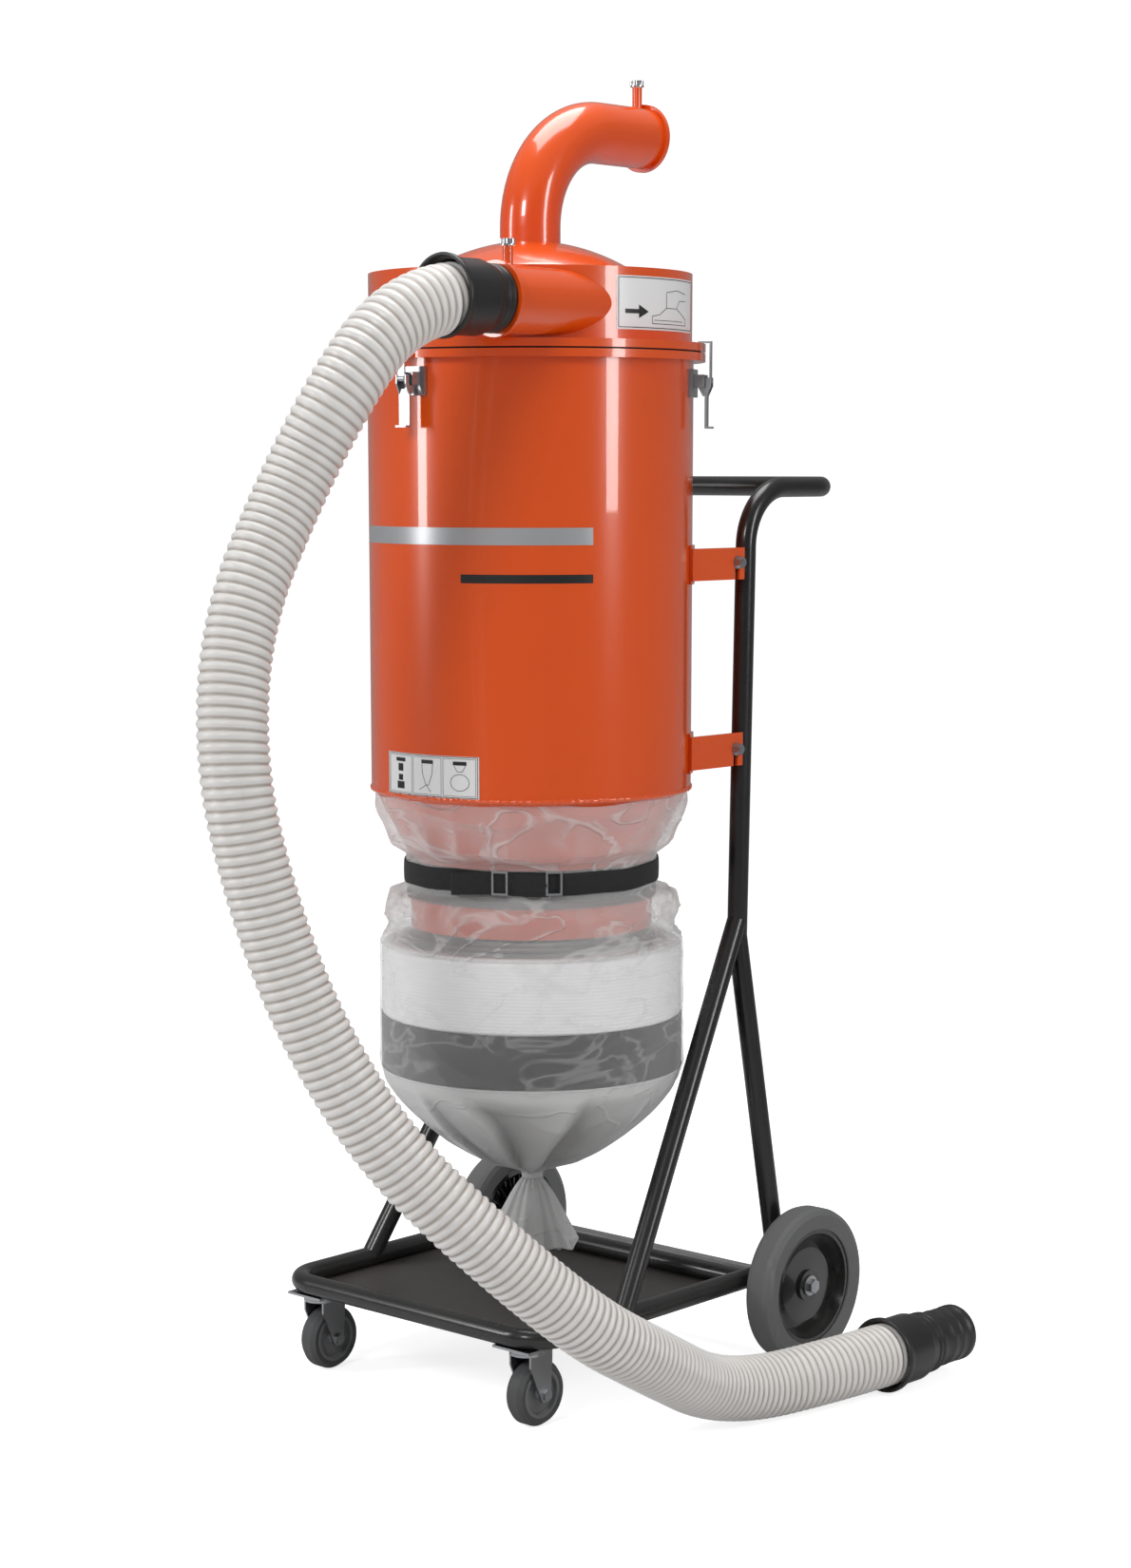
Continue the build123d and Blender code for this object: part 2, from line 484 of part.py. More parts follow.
# ---- swivel casters ----
plate_top = tray_low
plate_low = plate_top - 3.0
race_low = plate_low - 5.0
crown_top = race_low - GAP
crown_low = crown_top - 3.0
wheel_y = CASTER_Y + CASTER_TRAIL
caster_plate = Pos(CASTER_X, CASTER_Y, (plate_top + plate_low) / 2) * Box(58, 58, 3.0)
caster_plate += rod((CASTER_X, CASTER_Y, plate_low), (CASTER_X, CASTER_Y, race_low), 21)
caster_plate += rod((CASTER_X, CASTER_Y, race_low), (CASTER_X, CASTER_Y, crown_low - 2.5), 5)
caster_plate += rod((CASTER_X, CASTER_Y, crown_low - GAP), (CASTER_X, CASTER_Y, crown_low - 2.5), 8.5)
parts["caster_plates"] = both(caster_plate)
fork_half = CASTER_W / 2 + 2.0
fork = rod((CASTER_X, CASTER_Y, crown_low), (CASTER_X, CASTER_Y, crown_top), 21)
fork += Pos(CASTER_X, (CASTER_Y - 12 + wheel_y + 12) / 2, (crown_low + crown_top) / 2) * Box(
    2 * fork_half + 5, CASTER_TRAIL + 24, 3.0)
for side_sign in (-1, 1):
    x_in = CASTER_X + side_sign * fork_half - (2.5 if side_sign < 0 else 0)
    cheek = extrude(Plane(origin=(x_in, 0, 0), x_dir=(0, 1, 0), z_dir=(1, 0, 0)) * make_face(Polyline(
        (CASTER_Y - 12, crown_top), (wheel_y + 12, crown_top), (wheel_y + 12, crown_low - 8),
        (wheel_y + 9, CASTER_R - 2), (wheel_y + 5, CASTER_R - 9), (wheel_y - 5, CASTER_R - 9),
        (wheel_y - 9, CASTER_R - 2), (CASTER_Y - 12, crown_low - 14), close=True)), amount=2.5)
    fork += cheek
fork -= rod((CASTER_X, CASTER_Y, crown_low - 5), (CASTER_X, CASTER_Y, crown_top + 5), 5 + RUN)
caster_axle_end = fork_half + 2.5
axle_pin = rod((CASTER_X - caster_axle_end, wheel_y, CASTER_R), (CASTER_X + caster_axle_end, wheel_y, CASTER_R), 4)
fork -= axle_pin
parts["caster_fork_right"] = fork
parts["caster_fork_left"] = mirrored(fork)
for side_sign in (-1, 1):
    start = CASTER_X + side_sign * caster_axle_end
    head = extrude(Plane(origin=(start, wheel_y, CASTER_R), z_dir=(side_sign, 0, 0)) * RegularPolygon(7, 6), amount=4.5)
    axle_pin += head
parts["caster_axle_right"] = axle_pin
parts["caster_axle_left"] = mirrored(axle_pin)
c0 = CASTER_X - CASTER_W / 2
c1 = CASTER_X + CASTER_W / 2
caster_tyre = x_turned([
    (30, c0 + 1), (CASTER_R - 4, c0), (CASTER_R, c0 + 6), (CASTER_R, c1 - 6), (CASTER_R - 4, c1), (30, c1 - 1)],
    wheel_y, CASTER_R)
caster_core = x_turned([
    (4 + RUN, c0 - 1), (9, c0 - 1), (9, c0 + 6), (25, c0 + 6), (26, c0 + 1), (30, c0 + 1), (30, c1 - 1),
    (26, c1 - 1), (25, c1 - 6), (9, c1 - 6), (9, c1 + 1), (4 + RUN, c1 + 1)], wheel_y, CASTER_R)
parts["caster_tyre_right"] = caster_tyre
parts["caster_core_right"] = caster_core
parts["caster_tyre_left"] = mirrored(caster_tyre)
parts["caster_core_left"] = mirrored(caster_core)

# ---- hose with its two cuffs ----
CUFF_BACK = 85.5        # from the cuff's wide end to its shoulder
CUFF_SLEEVE = 62.0
RECESS = 50.0
HOSE_POINTS = [
    (147.0, -257.0, 1315.0), (147.0, -306.0, 1315.0), (145.0, -388.0, 1282.5), (138.0, -449.0, 1214.4),
    (103.9, -495.6, 1107.3), (102.3, -575.0, 970.2), (122.2, -607.7, 819.6), (141.1, -583.7, 673.2),
    (177.9, -548.6, 530.8), (232.1, -490.8, 395.0), (305.9, -418.2, 292.6), (365.5, -312.8, 183.7),
    (372.2, -214.0, 125.5), (351.2, -47.8, 37.0), (409.7, 131.9, 47.5), (414.5, 236.9, 47.5)]


def cuff():
    """A hose cuff along +Z: wide flared end at z = 0, sleeve ending at z = CUFF_BACK + CUFF_SLEEVE."""
    total = CUFF_BACK + CUFF_SLEEVE
    body = turned([
        (0, 0), (46.5, 0), (47, 3), (46.5, 7), (CUFF_R, 12), (CUFF_R, RECESS + 6),
        (CUFF_R - 4, RECESS + 12), (CUFF_R - 4, CUFF_BACK - 3), (CUFF_R - 5, CUFF_BACK - 0.3),
        (CUFF_SLEEVE_R, CUFF_BACK - 0.3), (CUFF_SLEEVE_R - 1.2, CUFF_BACK + 8), (CUFF_SLEEVE_R - 1.2, CUFF_BACK + 18),
        (CUFF_SLEEVE_R, CUFF_BACK + 20), (CUFF_SLEEVE_R, CUFF_BACK + 23), (CUFF_SLEEVE_R - 1.5, CUFF_BACK + 25),
        (CUFF_SLEEVE_R - 1.5, total - 10), (CUFF_SLEEVE_R, total - 8), (CUFF_SLEEVE_R, total), (0, total)])
    body -= turned([
        (0, -1), (44, -1), (43, 0), (HOSE_OD / 2 + 0.3, RECESS - 6), (HOSE_OD / 2 + 0.3, RECESS),
        (30, RECESS), (30, total + 1), (0, total + 1)])
    return body


def hose_run_radii(points):
    radii = []
    for i in range(1, len(points) - 1):
        a = Vector(*points[i]) - Vector(*points[i - 1])
        b = Vector(*points[i + 1]) - Vector(*points[i])
        turn = math.radians(a.get_angle(b))
        radii.append(0.45 * min(a.length, b.length) / math.tan(turn / 2))
    return radii


radii = hose_run_radii(HOSE_POINTS)
print("hose radii", [round(r) for r in radii])
hose_path = FilletPolyline(*HOSE_POINTS, radius=radii)
hose_section = Plane(origin=hose_path @ 0, z_dir=hose_path % 0) * (Circle(HOSE_OD / 2) - Circle(HOSE_OD / 2 - HOSE_WALL))
hose = sweep(hose_section, path=hose_path)
area = math.pi * ((HOSE_OD / 2) ** 2 - (HOSE_OD / 2 - HOSE_WALL) ** 2)
print("hose length", round(hose_path.length, 1), "volume ratio", round(hose.volume / (area * hose_path.length), 4))
print("hose lowest", round(hose.bounding_box().min.Z, 2))
parts["hose"] = hose
inlet_face = HOSE_POINTS[0][1] - RECESS
parts["hose_cuff_inlet"] = Plane(origin=(INLET_X, inlet_face, INLET_Z), z_dir=(0, 1, 0)) * cuff()
tail_dir = (Vector(*HOSE_POINTS[-1]) - Vector(*HOSE_POINTS[-2])).normalized()
free_origin = Vector(*HOSE_POINTS[-1]) - tail_dir * RECESS
parts["hose_cuff_free"] = Plane(origin=free_origin, z_dir=tail_dir) * cuff()

os.makedirs("parts", exist_ok=True)
for name, shape in parts.items():
    export_step(Pos(0, SHIFT_Y, 0) * shape, f"parts/{name}.step")
print("shift", SHIFT_Y, "nodes", len(parts))
for name, shape in parts.items():
    box = shape.bounding_box()
    print(name, len(shape.solids()), round(shape.volume), shape.is_valid,
          [round(v, 1) for v in (box.min.X, box.min.Y + SHIFT_Y, box.min.Z, box.max.X, box.max.Y + SHIFT_Y, box.max.Z)])
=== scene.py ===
import math
import bpy
from mathutils import Euler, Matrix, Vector, noise


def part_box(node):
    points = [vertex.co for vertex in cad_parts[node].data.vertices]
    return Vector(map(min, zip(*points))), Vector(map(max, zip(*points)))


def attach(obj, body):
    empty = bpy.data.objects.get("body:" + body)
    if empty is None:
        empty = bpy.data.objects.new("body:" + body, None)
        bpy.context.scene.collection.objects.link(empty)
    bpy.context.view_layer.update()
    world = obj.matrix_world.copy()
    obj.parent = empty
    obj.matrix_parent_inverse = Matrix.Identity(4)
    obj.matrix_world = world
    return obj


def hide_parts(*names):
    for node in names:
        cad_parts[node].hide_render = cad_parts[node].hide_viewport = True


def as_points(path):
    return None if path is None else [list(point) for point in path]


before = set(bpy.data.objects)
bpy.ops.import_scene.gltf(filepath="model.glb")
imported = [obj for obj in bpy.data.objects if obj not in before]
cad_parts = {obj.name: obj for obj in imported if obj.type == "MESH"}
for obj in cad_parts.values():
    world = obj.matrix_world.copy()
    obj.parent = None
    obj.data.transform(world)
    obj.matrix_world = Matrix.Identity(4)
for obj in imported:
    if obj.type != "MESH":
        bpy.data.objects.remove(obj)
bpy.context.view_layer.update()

# ---- studio ----
# A white paper sweep, an even room and four soft boxes. The tall boxes give the gloss paint
# its upright reflections. The camera looks slightly down at the front right corner.
STUDIO_WHITE = (0.72, 0.72, 0.725)
PAPER_GLOW = 0.80       # seen by the camera only, so that the paper is white and throws no light
ROOM_LIGHT = 0.36
SWEEP_OUTLINE = [(0.0, 0.0), (3.0, 0.0), (6.5, 0.0), (8.4, 0.25), (9.8, 1.3), (10.6, 3.2), (10.9, 7.5)]
FLOOR_DROP = 0.0006


def studio_sweep(name, outline, around):
    """A round paper floor whose far edge curves up into a wall."""
    corners = [(0.0, 0.0, -FLOOR_DROP)]
    faces = []
    for radius, height in outline[1:]:
        for step in range(around):
            turn = math.tau * step / around
            corners.append((radius * math.cos(turn), radius * math.sin(turn), height - FLOOR_DROP))
    for step in range(around):
        after = (step + 1) % around
        faces.append((0, 1 + step, 1 + after))
        for ring in range(len(outline) - 2):
            low = 1 + ring * around
            faces.append((low + step, low + around + step, low + around + after, low + after))
    mesh = bpy.data.meshes.new(name)
    mesh.from_pydata(corners, [], faces)
    mesh.polygons.foreach_set("use_smooth", [True] * len(faces))
    floor = bpy.data.objects.new(name, mesh)
    bpy.context.collection.objects.link(floor)
    return floor


paper = bpy.data.materials.new("studio_paper")
paper.use_nodes = True
paper_tree = paper.node_tree
paper_shader = paper_tree.nodes["Principled BSDF"]
paper_shader.inputs["Base Color"].default_value = (*STUDIO_WHITE, 1.0)
paper_shader.inputs["Roughness"].default_value = 0.75
paper_shader.inputs["Specular IOR Level"].default_value = 0.1
paper_shader.inputs["Emission Color"].default_value = (1.0, 1.0, 1.0, 1.0)
seen = paper_tree.nodes.new("ShaderNodeLightPath")
glow = paper_tree.nodes.new("ShaderNodeMath")
glow.operation = "MULTIPLY"
glow.inputs[1].default_value = PAPER_GLOW
paper_tree.links.new(seen.outputs["Is Camera Ray"], glow.inputs[0])
paper_tree.links.new(glow.outputs["Value"], paper_shader.inputs["Emission Strength"])
floor = studio_sweep("studio_floor", SWEEP_OUTLINE, 96)
floor.data.materials.append(paper)

room = bpy.data.worlds.new("studio_room")
room.use_nodes = True
room.node_tree.nodes["Background"].inputs["Color"].default_value = (1.0, 1.0, 1.0, 1.0)
room.node_tree.nodes["Background"].inputs["Strength"].default_value = ROOM_LIGHT
bpy.context.scene.world = room
bpy.context.scene.view_settings.view_transform = "Standard"


def soft_box(name, place, target, width, height, watts):
    """A rectangular lamp aimed at a point."""
    lamp = bpy.data.lights.new(name, "AREA")
    lamp.shape = "RECTANGLE"
    lamp.size = width
    lamp.size_y = height
    lamp.energy = watts
    box = bpy.data.objects.new(name, lamp)
    box.location = place
    box.rotation_euler = (Vector(target) - Vector(place)).to_track_quat("-Z", "Y").to_euler()
    bpy.context.collection.objects.link(box)


soft_box("soft_box_left", (-1.9, -2.6, 1.7), (0.0, -0.1, 0.8), 0.45, 1.5, 26)
soft_box("soft_box_front", (0.9, -3.6, 2.6), (0.0, -0.1, 0.9), 0.8, 0.8, 42)
soft_box("soft_box_right", (2.9, 0.4, 1.8), (0.0, -0.1, 0.9), 0.5, 1.6, 26)
soft_box("soft_box_top", (-0.2, 0.1, 3.3), (0.0, 0.0, 0.6), 1.6, 1.6, 46)

LENS_MM = 69.27
SENSOR_MM = 36.0
LENS_SHIFT = 0.1223
CAMERA_PLACE = (2.51705, -2.83824, 1.12794)
LOOK_DOWN = math.radians(9.5613)
LOOK_ROUND = math.radians(41.813)
camera_data = bpy.data.cameras.new("camera")
camera_data.sensor_fit = "VERTICAL"
camera_data.sensor_height = SENSOR_MM
camera_data.lens = LENS_MM
camera_data.shift_y = LENS_SHIFT
camera = bpy.data.objects.new("camera", camera_data)
camera.location = CAMERA_PLACE
camera.rotation_euler = Euler((math.pi / 2 - LOOK_DOWN, 0.0, LOOK_ROUND))
bpy.context.collection.objects.link(camera)
bpy.context.scene.camera = camera

# ---- suction hose ----
# Ivory polyurethane wall wound round a stiff helix, so that it is ribbed. It leaves the inlet
# cuff forwards, falls to the floor in one wide bow and runs back past the right rear wheel.
HOSE_DIAMETER = 0.078
RIB_PITCH = 0.0115
SQUEEZED_PITCH = 0.0092
SQUEEZE_START = 1.20
SQUEEZE_RUN = 0.30
RIB_DEPTH = 0.0031
RIB_ROUNDNESS = 0.62    # under 1 makes the ribs broad and the grooves narrow
HOSE_STEP = RIB_PITCH / 9        # nine rows of points to a rib
HOSE_AROUND = 60
HOSE_ROUTE = [
    (0.147, -0.345, 1.315), (0.147, -0.394, 1.315), (0.145, -0.476, 1.2825), (0.138, -0.537, 1.2144),
    (0.1039, -0.5836, 1.1073), (0.1023, -0.663, 0.9702), (0.1222, -0.6957, 0.8196),
    (0.1411, -0.6717, 0.6732), (0.1779, -0.6366, 0.5308), (0.2321, -0.5788, 0.395),
    (0.3059, -0.5062, 0.2926), (0.3655, -0.4008, 0.1837), (0.3722, -0.302, 0.1255),
    (0.3512, -0.1358, 0.037), (0.4097, 0.0439, 0.0475), (0.4145, 0.1489, 0.0475)]

hose_curve = bpy.data.curves.new("hose_route", "CURVE")
hose_curve.dimensions = "3D"
hose_curve.resolution_u = 48
hose_spline = hose_curve.splines.new("NURBS")
hose_spline.points.add(len(HOSE_ROUTE) - 1)
for knot, place in zip(hose_spline.points, HOSE_ROUTE):
    knot.co = (*place, 1.0)
hose_spline.order_u = 3
hose_spline.use_endpoint_u = True
hose_guide = bpy.data.objects.new("hose_guide", hose_curve)
bpy.context.collection.objects.link(hose_guide)
hose_line = [v.co.copy() for v in bpy.data.meshes.new_from_object(hose_guide).vertices]
bpy.data.objects.remove(hose_guide)


def evenly(line, step):
    """Points a fixed distance apart along a line."""
    placed = [line[0].copy()]
    left = step
    for start, end in zip(line, line[1:]):
        span = (end - start).length
        gone = 0.0
        while span - gone >= left:
            gone += left
            placed.append(start.lerp(end, gone / span))
            left = step
        left -= span - gone
    return placed


hose_points = evenly(hose_line, HOSE_STEP)
hose_frames = []
side = Vector((1.0, 0.0, 0.0))
for index, place in enumerate(hose_points):
    ahead = hose_points[min(index + 3, len(hose_points) - 1)]
    behind = hose_points[max(index - 3, 0)]
    along = (ahead - behind).normalized()
    side = (side - along * side.dot(along)).normalized()
    hose_frames.append((place, side.copy(), along.cross(side)))

rib_phase = [0.0]
for row in range(1, len(hose_points)):
    squeezed = min(1.0, max(0.0, (row * HOSE_STEP - SQUEEZE_START) / SQUEEZE_RUN))
    rib_phase.append(rib_phase[-1] + HOSE_STEP / (RIB_PITCH + (SQUEEZED_PITCH - RIB_PITCH) * squeezed))


def rib_height(row, step):
    """How proud the wall stands there, from 0 in a groove to 1 on a rib."""
    phase = rib_phase[row] + step / HOSE_AROUND
    return (0.5 + 0.5 * math.cos(math.tau * phase)) ** RIB_ROUNDNESS


def hose_point(row, step):
    place, right, up = hose_frames[row]
    turn = math.tau * step / HOSE_AROUND
    radius = HOSE_DIAMETER / 2 - RIB_DEPTH * (1.0 - rib_height(row, step))
    return place + radius * (right * math.cos(turn) + up * math.sin(turn))


def skin(name, rows, around, point, loop=False, caps=False):
    """A smooth skin of rows of points that close round an axis. loop joins the last row to the first."""
    corners = [point(row, step) for row in range(rows) for step in range(around)]
    faces = []
    for row in range(rows if loop else rows - 1):
        low = row * around
        high = ((row + 1) % rows) * around
        for step in range(around):
            after = (step + 1) % around
            faces.append((low + step, low + after, high + after, high + step))
    if caps:
        faces.append(tuple(reversed(range(around))))
        faces.append(tuple((rows - 1) * around + step for step in range(around)))
    mesh = bpy.data.meshes.new(name)
    mesh.from_pydata(corners, [], faces)
    mesh.polygons.foreach_set("use_smooth", [True] * len(faces))
    mesh.update()
    made = bpy.data.objects.new(name, mesh)
    bpy.context.collection.objects.link(made)
    return made


hose = skin("ribbed_hose", len(hose_frames), HOSE_AROUND, hose_point, caps=True)
groove = hose.data.attributes.new("groove", "FLOAT", "POINT")
groove.data.foreach_set("value", [1.0 - rib_height(row, step)
                                  for row in range(len(hose_frames)) for step in range(HOSE_AROUND)])


def group_socket(group, name, kind, output=False, value=None):
    made = group.interface.new_socket(name, in_out="OUTPUT" if output else "INPUT", socket_type=kind)
    if value is not None:
        made.default_value = value
    return made


def relief_group():
    """Bumps of a given size and depth, as a height from 0 to 1."""
    group = bpy.data.node_groups.new("fine_relief", "ShaderNodeTree")
    group_socket(group, "Scale", "NodeSocketFloat", value=200.0)
    group_socket(group, "Height", "NodeSocketFloat", output=True)
    inside = group.nodes.new("NodeGroupInput")
    outside = group.nodes.new("NodeGroupOutput")
    where = group.nodes.new("ShaderNodeTexCoord")
    grain = group.nodes.new("ShaderNodeTexNoise")
    group.links.new(where.outputs["Object"], grain.inputs["Vector"])
    group.links.new(inside.outputs["Scale"], grain.inputs["Scale"])
    grain.inputs["Detail"].default_value = 2.0
    group.links.new(grain.outputs["Fac"], outside.inputs["Height"])
    return group


def wear_group():
    """Short scuffs, soft cloudy marks, and dust that thickens towards the floor, each from 0 to 1."""
    group = bpy.data.node_groups.new("wear_and_dust", "ShaderNodeTree")
    group_socket(group, "Scuff Scale", "NodeSocketFloat", value=60.0)
    group_socket(group, "Dust Height", "NodeSocketFloat", value=0.12)
    for name in ("Scuffs", "Clouds", "Dust"):
        group_socket(group, name, "NodeSocketFloat", output=True)
    inside = group.nodes.new("NodeGroupInput")
    outside = group.nodes.new("NodeGroupOutput")
    where = group.nodes.new("ShaderNodeTexCoord")
    stretch = group.nodes.new("ShaderNodeMapping")
    stretch.inputs["Scale"].default_value = (1.0, 1.0, 0.16)
    stretch.inputs["Rotation"].default_value = (0.35, 0.5, 0.2)
    group.links.new(where.outputs["Object"], stretch.inputs["Vector"])
    marks = group.nodes.new("ShaderNodeTexNoise")
    marks.inputs["Detail"].default_value = 6.0
    marks.inputs["Roughness"].default_value = 0.7
    group.links.new(stretch.outputs["Vector"], marks.inputs["Vector"])
    group.links.new(inside.outputs["Scuff Scale"], marks.inputs["Scale"])
    sharpen = group.nodes.new("ShaderNodeMapRange")
    sharpen.inputs["From Min"].default_value = 0.62
    sharpen.inputs["From Max"].default_value = 0.72
    group.links.new(marks.outputs["Fac"], sharpen.inputs["Value"])
    group.links.new(sharpen.outputs["Result"], outside.inputs["Scuffs"])
    clouds = group.nodes.new("ShaderNodeTexNoise")
    clouds.inputs["Scale"].default_value = 9.0
    clouds.inputs["Detail"].default_value = 4.0
    group.links.new(where.outputs["Object"], clouds.inputs["Vector"])
    group.links.new(clouds.outputs["Fac"], outside.inputs["Clouds"])
    apart = group.nodes.new("ShaderNodeSeparateXYZ")
    group.links.new(where.outputs["Object"], apart.inputs["Vector"])
    fall = group.nodes.new("ShaderNodeMapRange")
    fall.inputs["From Min"].default_value = 0.0
    fall.inputs["To Min"].default_value = 1.0
    fall.inputs["To Max"].default_value = 0.0
    group.links.new(apart.outputs["Z"], fall.inputs["Value"])
    group.links.new(inside.outputs["Dust Height"], fall.inputs["From Max"])
    patchy = group.nodes.new("ShaderNodeMath")
    patchy.operation = "MULTIPLY"
    group.links.new(fall.outputs["Result"], patchy.inputs[0])
    group.links.new(clouds.outputs["Fac"], patchy.inputs[1])
    group.links.new(patchy.outputs["Value"], outside.inputs["Dust"])
    return group


FINE_RELIEF = relief_group()
WEAR_AND_DUST = wear_group()


def mixed(tree, mask, low, high):
    """The shader input value between two plain colours, by a mask."""
    mix = tree.nodes.new("ShaderNodeMix")
    mix.data_type = "RGBA"
    mix.inputs["A"].default_value = (*low, 1.0)
    mix.inputs["B"].default_value = (*high, 1.0)
    tree.links.new(mask, mix.inputs["Factor"])
    return mix.outputs["Result"]


def ranged(tree, mask, low, high):
    """A plain number between two values, by a mask."""
    span = tree.nodes.new("ShaderNodeMapRange")
    span.inputs["To Min"].default_value = low
    span.inputs["To Max"].default_value = high
    tree.links.new(mask, span.inputs["Value"])
    return span.outputs["Result"]


def finish_material(name, colour, tint, roughness, relief=(250.0, 0.00005), wear=(60.0, 0.12),
                    dust=(0.45, 0.42, 0.38), rough_spread=0.12, scuff=None, metallic=0.0, coat=0.0,
                    coat_roughness=0.03):
    """A finish with cloudy tint, scuffs, low dust and fine relief."""
    made = bpy.data.materials.new(name)
    made.use_nodes = True
    tree = made.node_tree
    shader = tree.nodes["Principled BSDF"]
    shader.inputs["Metallic"].default_value = metallic
    shader.inputs["Coat Weight"].default_value = coat
    shader.inputs["Coat Roughness"].default_value = coat_roughness
    worn = tree.nodes.new("ShaderNodeGroup")
    worn.node_tree = WEAR_AND_DUST
    worn.inputs["Scuff Scale"].default_value = wear[0]
    worn.inputs["Dust Height"].default_value = wear[1]
    base = mixed(tree, worn.outputs["Clouds"], colour, tint)
    scuffed = tree.nodes.new("ShaderNodeMix")
    scuffed.data_type = "RGBA"
    lighter = scuff or tuple(min(1.0, c * 1.25 + 0.02) for c in colour)
    scuffed.inputs["B"].default_value = (*lighter, 1.0)
    tree.links.new(ranged(tree, worn.outputs["Scuffs"], 0.0, 0.30), scuffed.inputs["Factor"])
    tree.links.new(base, scuffed.inputs["A"])
    dusty = tree.nodes.new("ShaderNodeMix")
    dusty.data_type = "RGBA"
    dusty.inputs["B"].default_value = (*dust, 1.0)
    tree.links.new(ranged(tree, worn.outputs["Dust"], 0.0, 0.10), dusty.inputs["Factor"])
    tree.links.new(scuffed.outputs["Result"], dusty.inputs["A"])
    tree.links.new(dusty.outputs["Result"], shader.inputs["Base Color"])
    rough = ranged(tree, worn.outputs["Clouds"], roughness - rough_spread / 2, roughness + rough_spread)
    tree.links.new(rough, shader.inputs["Roughness"])
    grain = tree.nodes.new("ShaderNodeGroup")
    grain.node_tree = FINE_RELIEF
    grain.inputs["Scale"].default_value = relief[0]
    bump = tree.nodes.new("ShaderNodeBump")
    bump.inputs["Distance"].default_value = relief[1]
    tree.links.new(grain.outputs["Height"], bump.inputs["Height"])
    tree.links.new(bump.outputs["Normal"], shader.inputs["Normal"])
    return made


ivory = finish_material(
    "hose_wall", (0.80, 0.785, 0.765), (0.75, 0.73, 0.70), 0.32, relief=(420.0, 0.00012), wear=(38.0, 0.10),
    dust=(0.50, 0.46, 0.40), scuff=(0.55, 0.50, 0.44))
tree = ivory.node_tree
ivory_shader = tree.nodes["Principled BSDF"]
# The groove attribute darkens the colour towards brown between the ribs: painted shade in the grooves, with
# a brown tint of grime.
grooves = tree.nodes.new("ShaderNodeAttribute")
grooves.attribute_name = "groove"
deep = tree.nodes.new("ShaderNodeMapRange")
deep.inputs["From Min"].default_value = 0.40
deep.inputs["From Max"].default_value = 1.0
deep.inputs["To Max"].default_value = 0.80
tree.links.new(grooves.outputs["Fac"], deep.inputs["Value"])
groove_shade_and_grime = tree.nodes.new("ShaderNodeMix")
groove_shade_and_grime.data_type = "RGBA"
groove_shade_and_grime.inputs["B"].default_value = (0.30, 0.235, 0.19, 1.0)
tree.links.new(deep.outputs["Result"], groove_shade_and_grime.inputs["Factor"])
tree.links.new(ivory_shader.inputs["Base Color"].links[0].from_socket, groove_shade_and_grime.inputs["A"])
tree.links.new(groove_shade_and_grime.outputs["Result"], ivory_shader.inputs["Base Color"])
ivory_shader.inputs["Subsurface Weight"].default_value = 0.08
ivory_shader.inputs["Subsurface Radius"].default_value = (0.01, 0.008, 0.006)
hose.data.materials.append(ivory)
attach(hose, "frame")
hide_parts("hose")

# ---- hose cuffs ----
# Black moulded rubber. Each has a flared lip over the hose, a ringed body, and a stepped sleeve
# that pushes into a pipe. The front one sits in the inlet pipe, the other is the loose end.
HOSE_IN_CUFF = 0.050
CUFF_SECTION = [
    (0.0440, 0.000), (0.0462, 0.0004), (0.0470, 0.003), (0.0466, 0.0068), (0.0440, 0.0092),
    (0.0427, 0.0115), (0.0425, 0.016), (0.0425, 0.053), (0.0420, 0.0555), (0.0400, 0.0590),
    (0.0386, 0.0615), (0.0385, 0.0680), (0.0372, 0.0690), (0.0372, 0.0708), (0.0385, 0.0718),
    (0.0385, 0.0760), (0.0372, 0.0770), (0.0372, 0.0788), (0.0384, 0.0798), (0.0384, 0.0830),
    (0.0375, 0.0850), (0.0357, 0.0853), (0.0346, 0.090), (0.0345, 0.103), (0.0356, 0.1052),
    (0.0357, 0.1085), (0.0344, 0.1105), (0.0342, 0.1210), (0.0352, 0.1225), (0.0352, 0.1250),
    (0.0342, 0.1265), (0.0342, 0.1370), (0.0356, 0.1385), (0.0356, 0.1460), (0.0349, 0.1474),
    (0.0310, 0.1474), (0.0300, 0.1460), (0.0300, 0.051), (0.0394, 0.0502), (0.0395, 0.012), (0.0425, 0.002)]
CUFF_AROUND = 112

cuff_rubber = finish_material(
    "cuff_rubber", (0.008, 0.008, 0.009), (0.014, 0.014, 0.014), 0.34, relief=(520.0, 0.00018),
    wear=(70.0, 0.10), scuff=(0.10, 0.10, 0.10))


def turned_piece(name, section, origin, along, around):
    """A solid of revolution from a closed outline of (radius, distance) pairs, along a direction."""
    turn_to = Vector(along).to_track_quat("Z", "X").to_matrix()

    def point(row, step):
        radius, distance = section[row]
        turn = math.tau * step / around
        spot = Vector((radius * math.cos(turn), radius * math.sin(turn), distance))
        return Vector(origin) + turn_to @ spot

    made = skin(name, len(section), around, point, loop=True)
    edges = made.modifiers.new("soft_edges", "BEVEL")
    edges.width = 0.0003
    edges.segments = 1
    edges.limit_method = "ANGLE"
    edges.angle_limit = math.radians(50)
    return made


tail = (Vector(HOSE_ROUTE[-1]) - Vector(HOSE_ROUTE[-2])).normalized()
front_face = Vector(HOSE_ROUTE[0]) + Vector((0.0, -HOSE_IN_CUFF, 0.0))
front_cuff = turned_piece("front_cuff", CUFF_SECTION, front_face, (0.0, 1.0, 0.0), CUFF_AROUND)
loose_cuff = turned_piece("loose_cuff", CUFF_SECTION, Vector(HOSE_ROUTE[-1]) - tail * HOSE_IN_CUFF, tail,
                          CUFF_AROUND)
for cuff, node in ((front_cuff, "hose_cuff_inlet"), (loose_cuff, "hose_cuff_free")):
    cuff.data.materials.append(cuff_rubber)
    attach(cuff, "frame")
    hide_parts(node)

